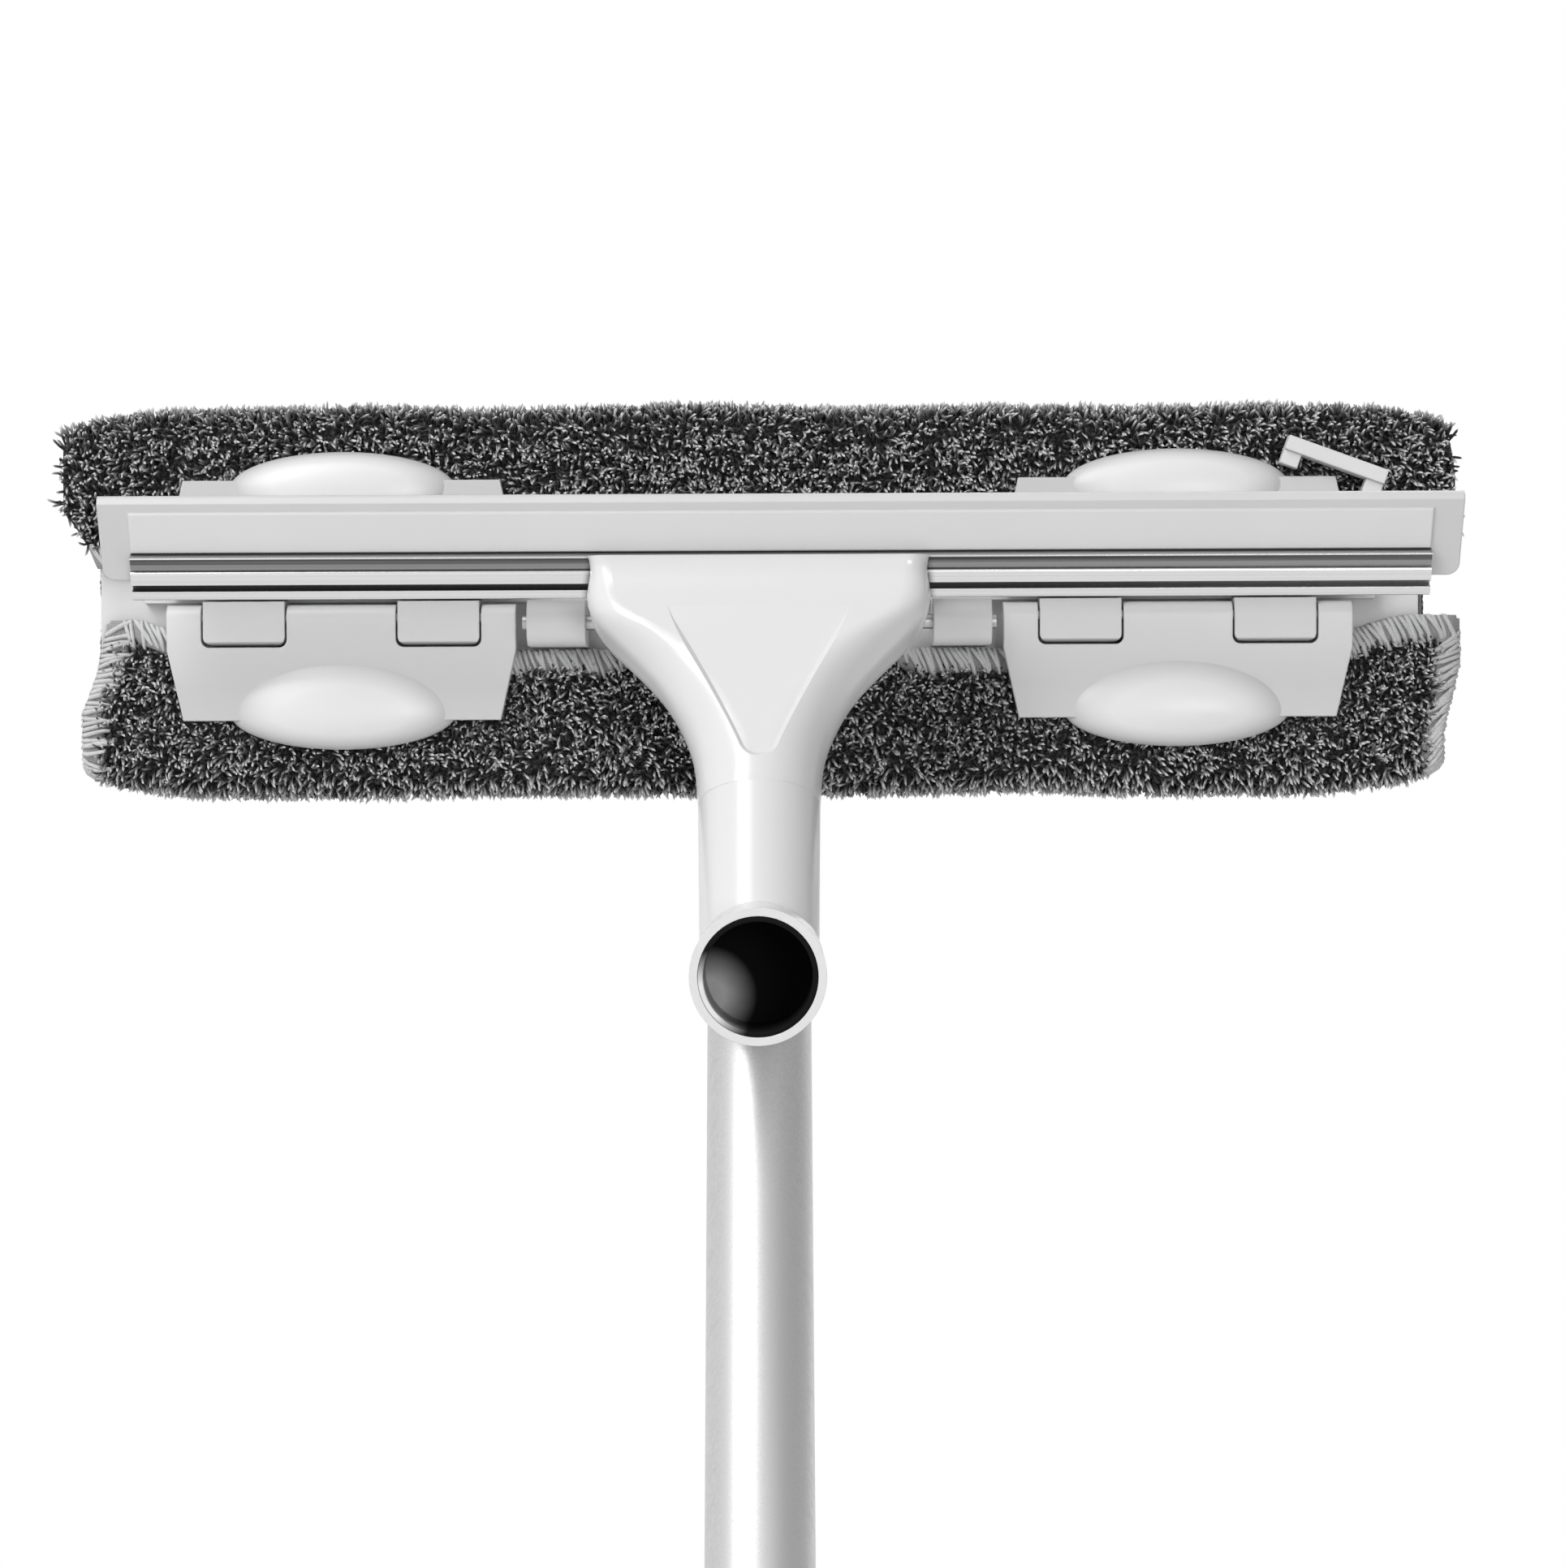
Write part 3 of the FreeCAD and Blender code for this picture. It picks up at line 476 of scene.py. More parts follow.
def lumpiness(across, around):
    """Slow swell and dip of the padded cloth, from -1 to 1."""
    return bumps.noise(Vector((across * 38.0, around * 38.0, 3.7)))


def smooth_step(value, low, high):
    """Smooth rise from 0 to 1 between two values."""
    share = min(max((value - low) / (high - low), 0.0), 1.0)
    return share * share * (3 - 2 * share)


def end_draw(side, depth, level):
    """How far an end of the sheet is drawn in: each flap hangs in its own way, the face is even."""
    height = abs(level) / PAD_HALF_HEIGHT
    if side < 0 and level < 0:
        flap_draw = 4.4 + 5.2 * max(0.0, 1 - (height / 0.6) ** 2)
    elif side < 0:
        flap_draw = 8.0 * max(0.0, 1 - (height / 0.5) ** 2)
    elif level < 0:
        flap_draw = 3.4 * smooth_step(height, 0.3, 0.8)
    else:
        flap_draw = 1.6 * smooth_step(height, 0.65, 1.0)
    face_draw = 3.0 + 3.0 * (1 - height ** 2)
    on_face = smooth_step(depth, FLAP_DEPTH, FACE_DEPTH)
    return (flap_draw + (face_draw - flap_draw) * on_face) * MM


def pad_point(share, index, profile):
    """Place on the sheet, with the ends drawn in between their corners."""
    depth, level = profile[index]
    end_pull = abs(share) ** 9
    across = share * PAD_HALF_WIDTH - math.copysign(end_draw(share, depth, level) * end_pull, share)
    swell = SWELL * lumpiness(across, index * 3.0 * MM)
    outward = Vector((0.0, depth - FACE_DEPTH / 2, level)).normalized()
    arch = (1 - share ** 2) * max(0.0, 1 - (level / PAD_HALF_HEIGHT) ** 2)
    crown = CROWN * arch * (depth > FACE_DEPTH / 2)
    loose = abs(level) > HEM_LEVEL * 1.7
    return PAD_MIDDLE + Vector((across, depth + crown, level)) + outward * swell * loose


def hem_level(across, end_level):
    """Height of a hem: it makes way for the clips' and the tilt hinge's lugs, and differs at the ends."""
    lugs = [side * (CLIP_MIDDLE + offset * LUG_OFFSET) for side in (-1, 1) for offset in (-1, 1)]
    lugs.extend((-HINGE_LUG, HINGE_LUG))
    near = min(abs(across - lug) for lug in lugs)
    level = LUG_HEM_LEVEL + (HEM_LEVEL - LUG_HEM_LEVEL) * smooth_step(near, *LUG_ROOM)
    return level + (end_level - level) * smooth_step(abs(across), *HEM_END)


def pad_sheet_grid():
    """Rows of places over the sheet, one row for each station across the pad."""
    rows = []
    for station in range(STATIONS + 1):
        share = 2 * station / STATIONS - 1
        pull = 0.1 * abs(share) ** 14 + 0.012 * (1 - math.cos(share * 9.0)) / 2
        top = PAD_HALF_HEIGHT * (1 - pull)
        face = FACE_DEPTH * (1 - 0.22 * abs(share) ** 10)
        across = share * PAD_HALF_WIDTH
        low_level, up_level = hem_level(across, END_HEM_LEVEL), hem_level(across, HIDDEN_HEM_LEVEL)
        profile = pad_profile(top, face, low_level, up_level)
        rows.append([pad_point(share, index, profile) for index in range(len(profile))])
    return rows


def mesh_piece(name, places, faces, finish, smooth=True):
    """Object with one mesh in place."""
    mesh = bpy.data.meshes.new(name)
    mesh.from_pydata([tuple(place) for place in places], [], faces)
    mesh.polygons.foreach_set("use_smooth", [smooth] * len(mesh.polygons))
    mesh.materials.append(finish)
    piece = bpy.data.objects.new(name, mesh)
    bpy.context.collection.objects.link(piece)
    return piece


def settle(piece):
    """Turn a piece's modifiers into plain mesh."""
    evaluated = piece.evaluated_get(bpy.context.evaluated_depsgraph_get())
    made = bpy.data.meshes.new_from_object(evaluated)
    piece.modifiers.clear()
    old = piece.data
    piece.data = made
    made.name = piece.name
    bpy.data.meshes.remove(old)
    return piece


def pile_finish():
    """Twisted yarn: grey to pale at the tip, each strand its own tone, with painted shade that makes it
    nearly black at the root.
    """
    shader = {"Roughness": 0.75, "Sheen_Weight": 0.25, "Sheen_Roughness": 0.4}
    finish, tree, principled = new_finish("twisted pile", **shader)
    strand = add_node(tree, "ShaderNodeUVMap", uv_map="OFBake")
    parts = add_node(tree, "ShaderNodeSeparateXYZ", [(0, strand.outputs[0])])
    shade, rise = parts.outputs["X"], parts.outputs["Y"]
    pale = sum_of(tree, "POWER", spread(tree, shade, 0.2, 0.85), 1.1)
    tip = tinted(tree, pale, grey(0.02), grey(0.97))
    # Painted shade: each strand darkens towards its root, where the pile around it shades it
    lit = sum_of(tree, "POWER", spread(tree, rise, 0.35, 0.95), 1.5)
    tree.links.new(tinted(tree, lit, grey(0.002), tip), principled.inputs["Base Color"])
    return finish


def strand_template():
    """One strand: a bent three-sided yarn with a pointed tip, and a map that runs up it."""
    places, faces = [], []
    for rise, radius, lean in STRAND_RINGS:
        for side in range(3):
            angle = side * math.tau / 3
            across = Vector((math.cos(angle), math.sin(angle), 0.0)) * radius * MM
            places.append(across + Vector((lean * MM, 0.0, rise * STRAND_LENGTH)))
    places.append(Vector((STRAND_BEND, 0.0, STRAND_LENGTH)))
    for ring in range(len(STRAND_RINGS) - 1):
        for side in range(3):
            low, beside = ring * 3 + side, ring * 3 + (side + 1) % 3
            faces.append((low, beside, beside + 3, low + 3))
    last = (len(STRAND_RINGS) - 1) * 3
    for side in range(3):
        faces.append((last + side, last + (side + 1) % 3, len(places) - 1))
    strand = mesh_piece("strand", places, faces, pile_yarn)
    spots = strand.data.uv_layers.new(name="OFBake")
    for loop in strand.data.loops:
        rise = places[loop.vertex_index].z / STRAND_LENGTH
        spots.data[loop.index].uv = (0.03 * (loop.index % 3) / 2, 0.02 + 0.96 * rise)
    return strand


def node_tree(name, inputs):
    """Geometry node tree with named inputs, a geometry in and out, and its two end nodes."""
    tree = bpy.data.node_groups.new(name, "GeometryNodeTree")
    tree.interface.new_socket("Geometry", in_out="INPUT", socket_type="NodeSocketGeometry")
    for label, kind in inputs.items():
        tree.interface.new_socket(label, in_out="INPUT", socket_type="NodeSocket" + kind)
    tree.interface.new_socket("Geometry", in_out="OUTPUT", socket_type="NodeSocketGeometry")
    return tree, tree.nodes.new("NodeGroupInput"), tree.nodes.new("NodeGroupOutput")


def scaled(tree, vector, factor):
    """Vector times a number."""
    links = [(0, vector), ("Scale", factor)]
    return add_node(tree, "ShaderNodeVectorMath", links, operation="SCALE").outputs[0]


def random_number(tree, low, high, seed):
    """Random number between two others."""
    node = tree.nodes.new("FunctionNodeRandomValue")
    node.data_type = "FLOAT"
    node.inputs[2].default_value = low
    node.inputs[3].default_value = high
    tree.links.new(seed, node.inputs["Seed"])
    return node.outputs[1]


def random_vector(tree, seed):
    """Random vector inside a cube of side two."""
    node = tree.nodes.new("FunctionNodeRandomValue")
    node.data_type = "FLOAT_VECTOR"
    node.inputs[0].default_value = (-1.0, -1.0, -1.0)
    node.inputs[1].default_value = (1.0, 1.0, 1.0)
    tree.links.new(seed, node.inputs["Seed"])
    return node.outputs[0]


def named_value(tree, name, kind="FLOAT"):
    """Value stored on the mesh under a name."""
    node = tree.nodes.new("GeometryNodeInputNamedAttribute")
    node.data_type = kind
    node.inputs["Name"].default_value = name
    return node.outputs["Attribute"]


def stored(tree, geometry, name, value, kind, domain):
    """Geometry with a value stored on it under a name."""
    node = tree.nodes.new("GeometryNodeStoreNamedAttribute")
    node.data_type = kind
    node.domain = domain
    tree.links.new(geometry, node.inputs["Geometry"])
    node.inputs["Name"].default_value = name
    tree.links.new(value, node.inputs["Value"])
    return node.outputs[0]


def spun(tree, rotation, angle):
    """Rotation turned about its own Z."""
    spin = add_node(tree, "FunctionNodeAxisAngleToRotation", [("Axis", (0.0, 0.0, 1.0)), ("Angle", angle)])
    links = [("Rotation", rotation), ("Rotate By", spin.outputs[0])]
    return add_node(tree, "FunctionNodeRotateRotation", links, rotation_space="LOCAL").outputs[0]


def pile_tree():
    """Strands set close together over a surface, combed in small swirls."""
    inputs = {
        "Strand": "Object", "Strands per area": "Float", "Lean": "Float", "Seed": "Int", "Finish": "Material",
    }
    tree, start, end = node_tree("twisted pile", inputs)
    seed = start.outputs["Seed"]
    density = start.outputs["Strands per area"]
    links = [("Mesh", start.outputs["Geometry"]), ("Density", density), ("Seed", seed)]
    points = add_node(tree, "GeometryNodeDistributePointsOnFaces", links, distribute_method="RANDOM")
    position = tree.nodes.new("GeometryNodeInputPosition").outputs[0]
    swirl = add_node(tree, "ShaderNodeTexNoise", [("Vector", position), ("Scale", 170.0), ("Detail", 1.0)])
    comb = vector_sum(tree, swirl.outputs["Color"], (0.5, 0.5, 0.5), "SUBTRACT")
    loose = scaled(tree, random_vector(tree, seed), start.outputs["Lean"])
    aim = vector_sum(tree, points.outputs["Normal"], vector_sum(tree, scaled(tree, comb, 2.4), loose))
    aligned = add_node(tree, "FunctionNodeAlignRotationToVector", [("Vector", aim)], axis="Z")
    turned = spun(tree, aligned.outputs[0], random_number(tree, 0.0, math.tau, seed))
    reach = sum_of(tree, "MULTIPLY", random_number(tree, 0.75, 1.15, seed), named_value(tree, "pile share"))
    size = add_node(tree, "ShaderNodeCombineXYZ", [("X", 1.0), ("Y", 1.0), ("Z", reach)])
    strand = add_node(tree, "GeometryNodeObjectInfo", [("Object", start.outputs["Strand"])])
    links = [
        ("Points", points.outputs["Points"]), ("Instance", strand.outputs["Geometry"]),
        ("Rotation", turned), ("Scale", size.outputs[0]),
    ]
    strands = add_node(tree, "GeometryNodeInstanceOnPoints", links)
    shade = random_number(tree, 0.0, 1.0, seed)
    shaded = stored(tree, strands.outputs[0], "shade", shade, "FLOAT", "INSTANCE")
    whole = add_node(tree, "GeometryNodeRealizeInstances", [(0, shaded)]).outputs[0]
    across = sum_of(tree, "MULTIPLY", named_value(tree, "shade"), 0.96)
    shift = add_node(tree, "ShaderNodeCombineXYZ", [("X", across)]).outputs[0]
    spot = vector_sum(tree, named_value(tree, "OFBake", "FLOAT_VECTOR"), shift)
    mapped = stored(tree, whole, "OFBake", spot, "FLOAT2", "CORNER")
    links = [("Geometry", mapped), ("Material", start.outputs["Finish"])]
    dressed = add_node(tree, "GeometryNodeSetMaterial", links)
    tree.links.new(dressed.outputs[0], end.inputs[0])
    return tree


def grow(piece, tree, **values):
    """Run a geometry node tree on a piece and keep the result as plain mesh."""
    modifier = piece.modifiers.new(tree.name, "NODES")
    modifier.node_group = tree
    for item in tree.interface.items_tree:
        label = item.name.replace(" ", "_")
        if item.item_type == "SOCKET" and item.in_out == "INPUT" and label in values:
            modifier[item.identifier] = values[label]
    return settle(piece)


def woven_group():
    """Plain weave: threads over and under, in two directions of the surface's own coordinates."""
    group, start, end = new_group(
        "plain weave",
        {"Place": (0.0, 0.0, 0.0), "Colour": (0.2, 0.2, 0.2, 1.0), "Gap colour": (0.05, 0.05, 0.05, 1.0),
         "Threads": 1.0},
        {"Colour": (0.0, 0.0, 0.0, 1.0), "Roughness": 0.0, "Height": 0.0},
    )
    place = start.outputs["Place"]
    links = [("Vector", place), ("Scale", start.outputs["Threads"]), ("Distortion", 5.0)]
    weave = add_node(group, "ShaderNodeTexWave", links, bands_direction="X")
    cross = add_node(group, "ShaderNodeTexWave", links, bands_direction="Z")
    crossing = sum_of(group, "MULTIPLY", weave.outputs["Fac"], cross.outputs["Fac"])
    fuzz = spread(group, noise(group, place, 900.0, 3.0), 0.2, 0.8, 0.6, 1.0)
    mask = sum_of(group, "MULTIPLY", spread(group, crossing, 0.0, 0.7), fuzz)
    woven_colour = tinted(group, mask, start.outputs["Gap colour"], start.outputs["Colour"])
    group.links.new(woven_colour, end.inputs["Colour"])
    group.links.new(crossing, end.inputs["Height"])
    group.links.new(spread(group, mask, 0.0, 1.0, 0.95, 0.75), end.inputs["Roughness"])
    return group


def woven(name, level, gap, threads):
    """Woven cloth of one grey."""
    parts = new_finish(name, Sheen_Weight=0.2)
    return surface(parts, WOVEN, 0.15 * MM, Colour=grey(level), Gap_colour=grey(gap), Threads=threads)


WOVEN = woven_group()
backing_weave = woven("cloth backing", 0.09, 0.02, 260.0)
hem_weave = woven("hem tape", 0.68, 0.3, 1100.0)
stitch_thread = woven("pale stitch thread", 0.93, 0.7, 1100.0)
pile_yarn = pile_finish()

# Strand rings: share of the length, then radius and lean in millimetres
STRAND_LENGTH = 3.4 * MM
STRAND_RINGS = ((0.0, 0.26, 0.0), (0.5, 0.32, 0.25), (0.88, 0.3, 0.95))
STRAND_BEND = 1.3 * MM
STRANDS_PER_AREA = 1.75e6
STRAND_LOOSENESS = 0.55

# Shares of the strands' length under the clips and beside the hems
PRESSED_PILE = 0.45
SHORT_PILE = 0.75
SHORT_PILE_BAND = 7.5 * MM

# Hem tape and stitches
STITCH_SPACING = 1.1 * MM
STITCH_MARGIN = 2.6 * MM
TAPE_THICKNESS = 0.5 * MM

# Their forms in millimetres: the tape's section inwards and outwards, a stitch along, inwards and outwards
STITCH_RADIUS = 0.5
HEM_WIDTH = 4.4
HEM_SECTION = (
    (-0.5, -0.5), (-0.7, 0.4), (-0.1, 1.1), (0.5 * HEM_WIDTH, 1.35), (HEM_WIDTH - 0.6, 1.2), (HEM_WIDTH, 0.0),
)
STITCH_PATH = (
    (0.0, -0.9, -0.2), (-0.3, -0.8, 0.8), (-0.9, 0.6, 1.6), (-1.9, 2.8, 1.75), (-2.5, HEM_WIDTH + 0.3, 0.9),
)

sheet_rows = pad_sheet_grid()
PROFILE_LAST = len(sheet_rows[0]) - 1
FLAP_END = FLAP_STEPS + ROUND_STEPS + EDGE_STEPS
HEM_STEPS = 2
BARE_STATIONS = 2
MIDDLE_STATION = STATIONS // 2


def grid_faces(columns, rows):
    """Quads of a grid, turned outwards for this sheet."""
    faces = []
    for column in range(columns):
        for row in range(rows):
            corner = column * (rows + 1) + row
            faces.append((corner, corner + 1, corner + rows + 2, corner + rows + 1))
    return faces


def sheet_patch(name, first_station, last_station, first, last, finish):
    """Part of the sheet as its own piece, between stations across and points round the profile."""
    places = []
    for row in sheet_rows[first_station:last_station + 1]:
        places.extend(row[first:last + 1])
    return mesh_piece(name, places, grid_faces(last_station - first_station, last - first), finish)


def pile_share(place):
    """Length of the pile at a place: pressed flat under the clips, shorter along the hems."""
    across, level = abs(place.x), abs(place.z - PAD_MIDDLE.z)
    share = 1.0
    if place.y < PAD_MIDDLE.y and abs(across - CLIP_MIDDLE) < CLIP_HALF_WIDTH and level < CLIP_FOOT:
        share = PRESSED_PILE
    elif place.y < PAD_MIDDLE.y and level < HEM_LEVEL + SHORT_PILE_BAND:
        share = SHORT_PILE
    return share


def pile_piece(name, first_station, last_station, first, last, seed):
    """Pile over one part of the sheet."""
    patch = sheet_patch(name, first_station, last_station, first, last, pile_yarn)
    shares = patch.data.attributes.new("pile share", "FLOAT", "POINT")
    shares.data.foreach_set("value", [pile_share(vertex.co) for vertex in patch.data.vertices])
    return grow(
        patch, PILE, Strand=strand_mould, Strands_per_area=STRANDS_PER_AREA, Lean=STRAND_LOOSENESS,
        Seed=seed, Finish=pile_yarn,
    )


def evenly(path, spacing, margin):
    """Places along a path at an even spacing, clear of its ends, each with its leg's number and share."""
    places = []
    left = margin
    rest = sum((end - start).length for start, end in zip(path, path[1:])) - margin
    for leg, (start, end) in enumerate(zip(path, path[1:])):
        length = (end - start).length
        while left < min(length, rest):
            places.append((leg, left / length))
            left += spacing
        left -= length
        rest -= length
    return places


def hem_strip(name, edge, inward, outward, finish):
    """Rolled tape along an edge of the sheet."""
    places = []
    for place, into, out in zip(edge, inward, outward):
        places.extend(place + (into * across + out * proud) * MM for across, proud in HEM_SECTION)
    steps = len(HEM_SECTION) - 1
    faces = grid_faces(len(edge) - 1, steps)
    strip = mesh_piece(name, places, faces, finish)
    if sum(face.normal.dot(face.center - PAD_HEART) for face in strip.data.polygons) < 0:
        strip.data.flip_normals()
    solid = strip.modifiers.new("thickness", "SOLIDIFY")
    solid.thickness = TAPE_THICKNESS
    solid.offset = -1.0
    return settle(strip)


def stitch_template():
    """One overlock stitch: a four-sided thread bent over the tape."""
    places, faces = [], []
    for across, into, out in STITCH_PATH:
        for side in range(4):
            angle = side * math.pi / 2
            offset = Vector((math.cos(angle), 0.0, math.sin(angle))) * STITCH_RADIUS
            places.append((Vector((across, into, out)) + offset) * MM)
    for ring in range(len(STITCH_PATH) - 1):
        for side in range(4):
            low, beside = ring * 4 + side, ring * 4 + (side + 1) % 4
            faces.append((low, low + 4, beside + 4, beside))
    return mesh_piece("stitch", places, faces, stitch_thread)


def stitch_tree():
    """Stitches stood on points, each facing out and lined up with its edge."""
    inputs = {"Stitch": "Object", "Seed": "Int", "Finish": "Material"}
    tree, start, end = node_tree("overlock stitches", inputs)
    points = add_node(tree, "GeometryNodeMeshToPoints", [("Mesh", start.outputs["Geometry"])])
    links = [("Vector", named_value(tree, "face", "FLOAT_VECTOR"))]
    out = add_node(tree, "FunctionNodeAlignRotationToVector", links, axis="Z")
    links = [("Rotation", out.outputs[0]), ("Vector", named_value(tree, "run", "FLOAT_VECTOR"))]
    run = add_node(tree, "FunctionNodeAlignRotationToVector", links, axis="X", pivot_axis="Z")
    stitch = add_node(tree, "GeometryNodeObjectInfo", [("Object", start.outputs["Stitch"])])
    seed = start.outputs["Seed"]
    length = random_number(tree, 0.75, 1.12, seed)
    thick = random_number(tree, 0.8, 1.25, sum_of(tree, "ADD", seed, 17.0))
    size = add_node(tree, "ShaderNodeCombineXYZ", [("X", thick), ("Y", length), ("Z", 1.0)])
    swing = random_number(tree, -0.2, 0.2, sum_of(tree, "ADD", seed, 31.0))
    turned = spun(tree, run.outputs[0], swing)
    links = [
        ("Points", points.outputs[0]), ("Instance", stitch.outputs["Geometry"]),
        ("Rotation", turned), ("Scale", size.outputs[0]),
    ]
    placed = add_node(tree, "GeometryNodeInstanceOnPoints", links)
    whole = add_node(tree, "GeometryNodeRealizeInstances", [(0, placed.outputs[0])])
    links = [("Geometry", whole.outputs[0]), ("Material", start.outputs["Finish"])]
    dressed = add_node(tree, "GeometryNodeSetMaterial", links)
    tree.links.new(dressed.outputs[0], end.inputs[0])
    return tree


def stitch_row(name, edge, inward, outward, seed):
    """Row of stitches over a hem."""
    places, faces_out, runs = [], [], []
    for leg, share in evenly(edge, STITCH_SPACING, STITCH_MARGIN):
        places.append(edge[leg].lerp(edge[leg + 1], share))
        out = outward[leg].lerp(outward[leg + 1], share).normalized()
        into = inward[leg].lerp(inward[leg + 1], share).normalized()
        faces_out.append(out)
        runs.append(into.cross(out))
    row = mesh_piece(name, places, [], stitch_thread)
    for label, vectors in (("face", faces_out), ("run", runs)):
        attribute = row.data.attributes.new(label, "FLOAT_VECTOR", "POINT")
        attribute.data.foreach_set("vector", [part for vector in vectors for part in vector])
    return grow(row, STITCHES, Stitch=stitch_mould, Seed=seed, Finish=stitch_thread)


def edge_frames(edge, beside):
    """Inward and outward directions along an edge, from the next line of places inside it."""
    inward, outward = [], []
    for index, (place, inner) in enumerate(zip(edge, beside)):
        before, after = edge[max(index - 1, 0)], edge[min(index + 1, len(edge) - 1)]
        into = (inner - place).normalized()
        out = into.cross((after - before).normalized()).normalized()
        if out.dot(place - PAD_HEART) < 0:
            out = -out
        inward.append(into)
        outward.append(out)
    return inward, outward


PAD_HEART = PAD_MIDDLE + Vector((0.0, FACE_DEPTH / 2, 0.0))
PILE = pile_tree()
STITCHES = stitch_tree()
strand_mould = strand_template()
stitch_mould = stitch_template()


# Foam: its outline, and the depth and inset of each layer in millimetres
FOAM_HALF_WIDTH = 129.6 * MM
FOAM_HALF_HEIGHT = 30.6 * MM
FOAM_CORNER = 5.0 * MM
FOAM_LEAST_CORNER = 1.0 * MM
FOAM_LAYERS = (
    (4.1, 0.9), (4.5, 0.2), (5.4, 0.0), (8.6, 0.0), (9.6, 0.3),
    (10.2, 1.1), (10.7, 4.0), (11.3, 12.0), (11.7, 22.0),
)


def foam_pad():
    """Foam layer: flat against the plate, crowned in front, with rounded edges."""
    steps = 12
    places = []
    for depth, inset in FOAM_LAYERS:
        wide, tall = FOAM_HALF_WIDTH - inset * MM, FOAM_HALF_HEIGHT - inset * MM
        turn = max(FOAM_CORNER - inset * MM, FOAM_LEAST_CORNER)
        for quarter, (side, level) in enumerate(((1, 1), (-1, 1), (-1, -1), (1, -1))):
            for step in range(steps):
                angle = (quarter + step / (steps - 1)) * math.pi / 2
                spot = Vector((side * (wide - turn), depth * MM, level * (tall - turn)))
                places.append(PLATE_MIDDLE + spot + Vector((math.cos(angle), 0.0, math.sin(angle))) * turn)
    ring = steps * 4
    faces = []
    for layer in range(len(FOAM_LAYERS) - 1):
        for side in range(ring):
            low, beside = layer * ring + side, layer * ring + (side + 1) % ring
            faces.append((low, low + ring, beside + ring, beside))
    faces.append(tuple(range(ring)))
    faces.append(tuple(reversed(range(len(places) - ring, len(places)))))
    return mesh_piece("foam_pad", places, faces, foam_pale)


def on_head(piece, node=None):
    """Let a piece ride on the head, and hide the node it stands for."""
    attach(piece, "head")
    if node:
        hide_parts(node)
    return piece


def build_cloth():
    """Backing sheet with its pile, hems and stitches."""
    backing = sheet_patch("cloth_backing", 0, STATIONS, 0, PROFILE_LAST, backing_weave)
    solid = backing.modifiers.new("thickness", "SOLIDIFY")
    solid.thickness = SHEET_THICKNESS
    solid.offset = -1.0
    settle(backing)
    face_middle = PROFILE_LAST // 2
    bands = {
        "lower_flap": (HEM_STEPS, FLAP_END),
        "lower_face": (FLAP_END, face_middle),
        "upper_face": (face_middle, PROFILE_LAST - FLAP_END),
        "upper_flap": (PROFILE_LAST - FLAP_END, PROFILE_LAST - HEM_STEPS),
    }
    extras = []
    for band, (first, last) in bands.items():
        bare = 0 if band == "upper_flap" else BARE_STATIONS
        halves = {"left": (bare, MIDDLE_STATION), "right": (MIDDLE_STATION, STATIONS - bare)}
        for half, (start, end) in halves.items():
            extras.append(pile_piece("pile_" + band + "_" + half, start, end, first, last, len(extras) + 1))
    edges = {
        "lower": ([row[0] for row in sheet_rows], [row[1] for row in sheet_rows]),
        "upper": ([row[-1] for row in sheet_rows], [row[-2] for row in sheet_rows]),
        "left": (sheet_rows[0][:-FLAP_END], sheet_rows[1][:-FLAP_END]),
        "right": (sheet_rows[-1][:-FLAP_END], sheet_rows[-2][:-FLAP_END]),
    }
    for label, (edge, beside) in edges.items():
        inward, outward = edge_frames(edge, beside)
        extras.append(hem_strip("hem_" + label, edge, inward, outward, hem_weave))
        extras.append(stitch_row("stitches_" + label, edge, inward, outward, len(extras) + 1))
    on_head(backing, "scrub_cloth")
    for piece in extras:
        on_head(piece)


build_cloth()
for mould in (strand_mould, stitch_mould):
    bpy.data.objects.remove(mould)
foam = on_head(foam_pad(), "foam_cushion")


# Stage, light and camera

def pale_floor():
    """Wide floor just under the pole drawn right out, white to the camera away from the object's shadow."""
    half = 40.0
    level = cad_box[0].z - POLE_DRAW * math.cos(POLE_LEAN) - FLOOR_GAP
    corners = [(-half, -half, level), (half, -half, level), (half, half, level), (-half, half, level)]
    finish, tree, principled = new_finish("pale floor", Roughness=0.8)
    principled.inputs["Base Color"].default_value = grey(0.85)
    floor = mesh_piece("floor", corners, [(0, 1, 2, 3)], finish)
    place = tree.nodes.new("ShaderNodeTexCoord").outputs["Object"]
    flat = vector_sum(tree, place, (1.0, 1.0, 0.0), "MULTIPLY")
    distance = add_node(tree, "ShaderNodeVectorMath", [(0, flat)], operation="LENGTH").outputs["Value"]
    far = spread(tree, distance, 0.4, 1.6, 0.55, 1.0)
    path = tree.nodes.new("ShaderNodeLightPath")
    seen = sum_of(tree, "MAXIMUM", path.outputs["Is Camera Ray"], path.outputs["Is Transmission Ray"])
    seen = sum_of(tree, "MAXIMUM", seen, path.outputs["Is Glossy Ray"])
    white = add_node(tree, "ShaderNodeEmission", [("Color", grey(1.0))])
    mix = add_node(tree, "ShaderNodeMixShader", [("Fac", sum_of(tree, "MULTIPLY", seen, far))])
    tree.links.new(principled.outputs[0], mix.inputs[1])
    tree.links.new(white.outputs[0], mix.inputs[2])
    tree.links.new(mix.outputs[0], tree.nodes["Material Output"].inputs["Surface"])


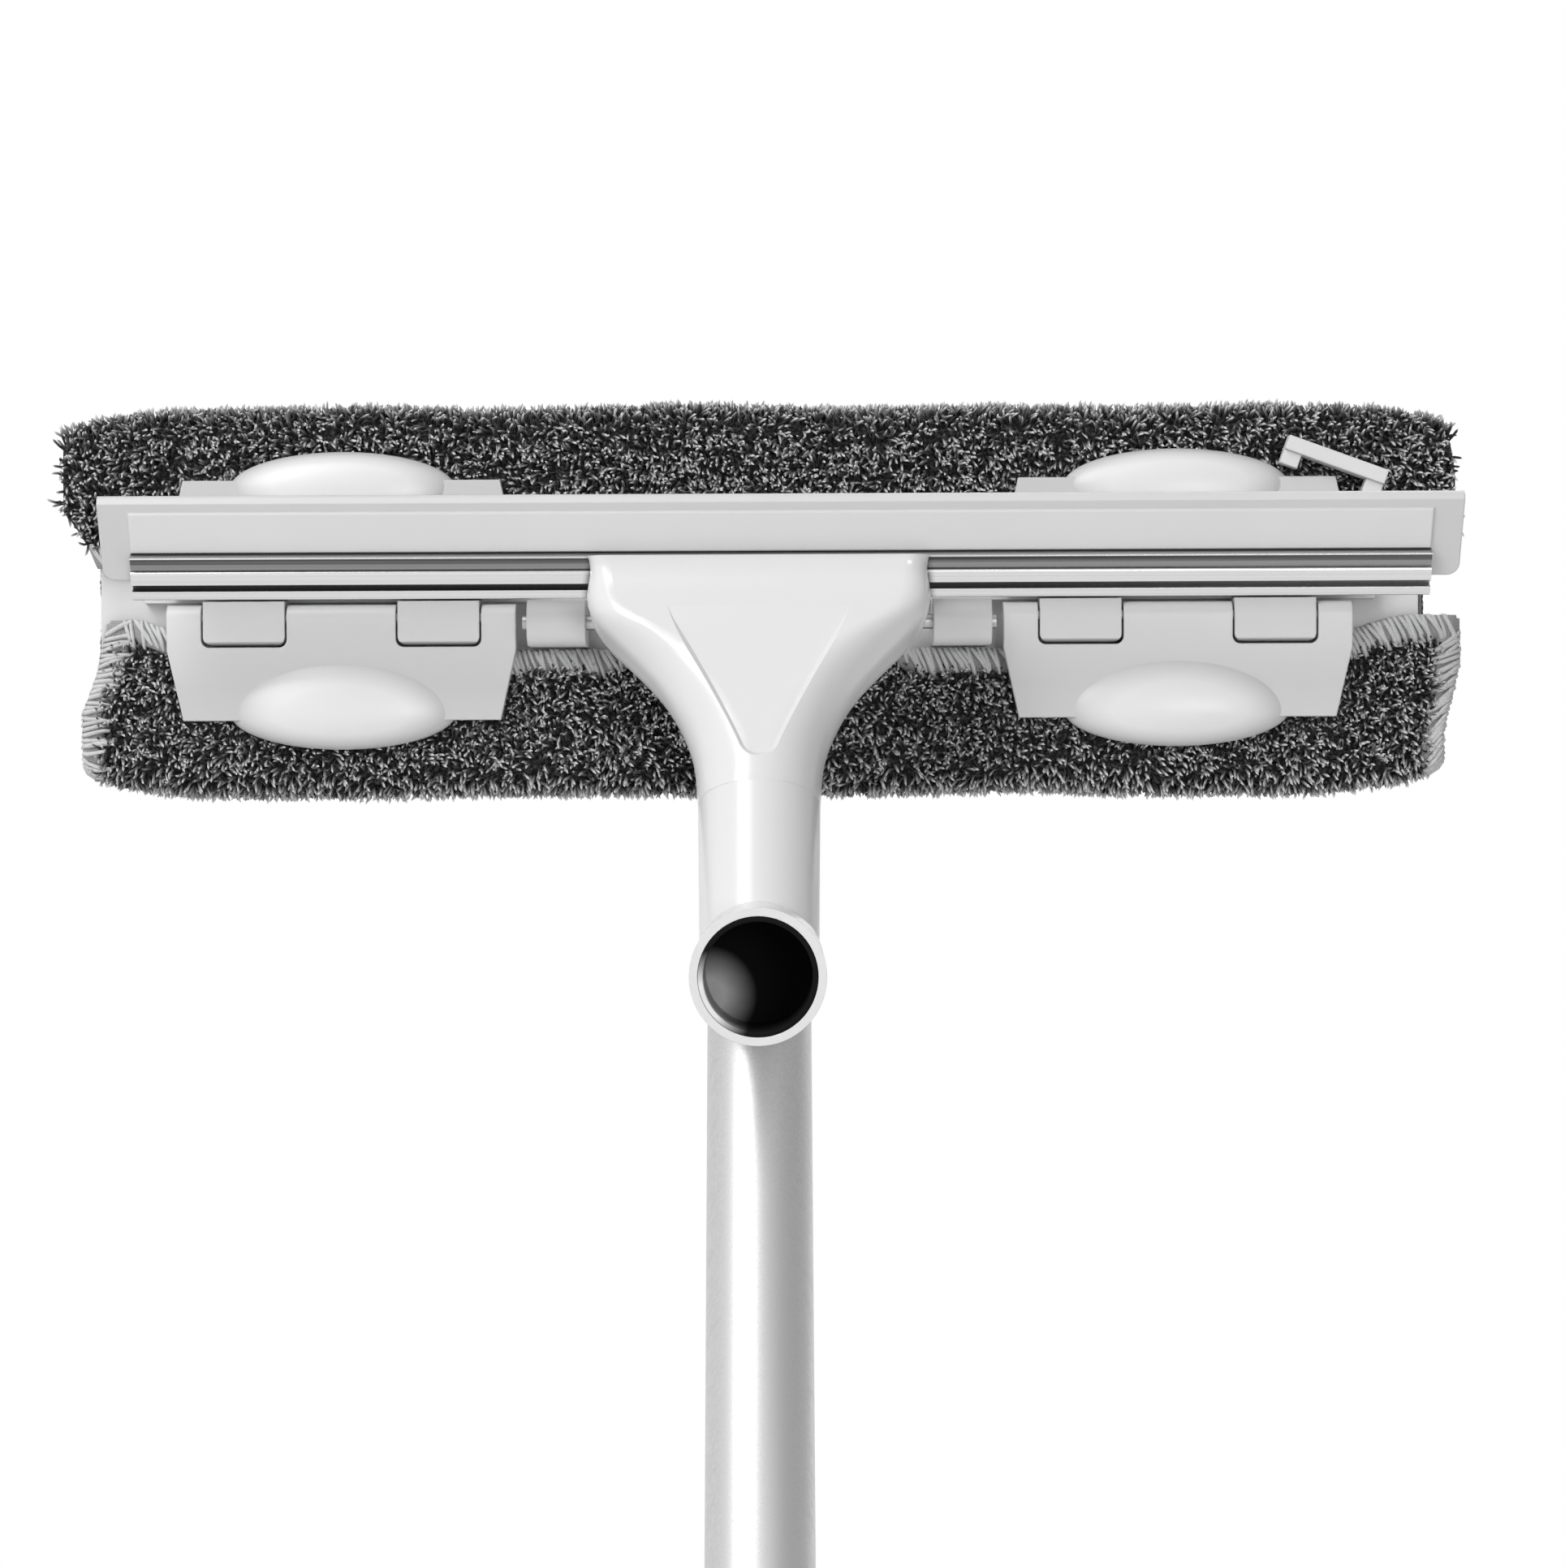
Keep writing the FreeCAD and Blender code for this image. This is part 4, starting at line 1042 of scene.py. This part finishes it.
def soft_world():
    """Pale surroundings, brighter on the left than on the right, and white behind the object."""
    world = bpy.data.worlds.new("soft surroundings")
    bpy.context.scene.world = world
    world.use_nodes = True
    tree = world.node_tree
    plain = tree.nodes["Background"]
    direction = tree.nodes.new("ShaderNodeTexCoord").outputs["Generated"]
    sideways = add_node(tree, "ShaderNodeSeparateXYZ", [(0, direction)]).outputs["X"]
    tree.links.new(spread(tree, sideways, -0.8, 0.8, 1.0, 0.35), plain.inputs["Color"])
    plain.inputs["Strength"].default_value = WORLD_LEVEL
    path = tree.nodes.new("ShaderNodeLightPath")
    seen = sum_of(tree, "MAXIMUM", path.outputs["Is Camera Ray"], path.outputs["Is Transmission Ray"])
    sheen = spread(tree, sideways, -0.6, 0.75, 0.9, 0.4)
    shiny = sum_of(tree, "MULTIPLY", path.outputs["Is Glossy Ray"], sheen)
    white = add_node(tree, "ShaderNodeBackground", [("Color", grey(1.0))])
    mix = add_node(tree, "ShaderNodeMixShader", [("Fac", sum_of(tree, "MAXIMUM", seen, shiny))])
    tree.links.new(plain.outputs[0], mix.inputs[1])
    tree.links.new(white.outputs[0], mix.inputs[2])
    tree.links.new(mix.outputs[0], tree.nodes["World Output"].inputs["Surface"])


def soft_box(name, place, aim, width, height, power):
    """Area lamp turned to a point."""
    lamp = bpy.data.lights.new(name, "AREA")
    lamp.shape = "RECTANGLE"
    lamp.size = width
    lamp.size_y = height
    lamp.energy = power
    holder = bpy.data.objects.new(name, lamp)
    holder.location = place
    holder.rotation_euler = (Vector(aim) - Vector(place)).to_track_quat("-Z", "Y").to_euler()
    bpy.context.collection.objects.link(holder)


def photo_camera():
    """Camera at the photograph's place, looking along +Y with the photograph's slight roll."""
    lens = bpy.data.cameras.new("photo camera")
    lens.sensor_fit = "VERTICAL"
    lens.sensor_height = FILM_HEIGHT
    lens.lens = FILM_HEIGHT / VIEW_HEIGHT_PER_DISTANCE
    lens.clip_start = 0.01
    camera = bpy.data.objects.new("photo camera", lens)
    camera.location = CAMERA_PLACE
    camera.rotation_euler = Euler((math.pi / 2, CAMERA_ROLL, 0.0))
    bpy.context.collection.objects.link(camera)
    bpy.context.scene.camera = camera


# Lamps turned to the head: place, width and height in metres, and power in watts
HEAD = (0.0, 0.08, 0.03)
LAMPS = {
    "key": ((-0.8, -0.9, 0.65), 0.5, 0.7, 5.5),
    "fill": ((0.34, -1.13, 0.12), 0.3, 0.3, 2.5),
    "top": ((-0.48, -0.56, 0.95), 0.5, 0.7, 4.5),
    "rear": ((0.4, 1.0, 0.5), 0.8, 0.8, 6.0),
}

pale_floor()
soft_world()
for name, (place, width, height, power) in LAMPS.items():
    soft_box(name, place, HEAD, width, height, power)
photo_camera()
bpy.context.scene.view_settings.view_transform = "Standard"
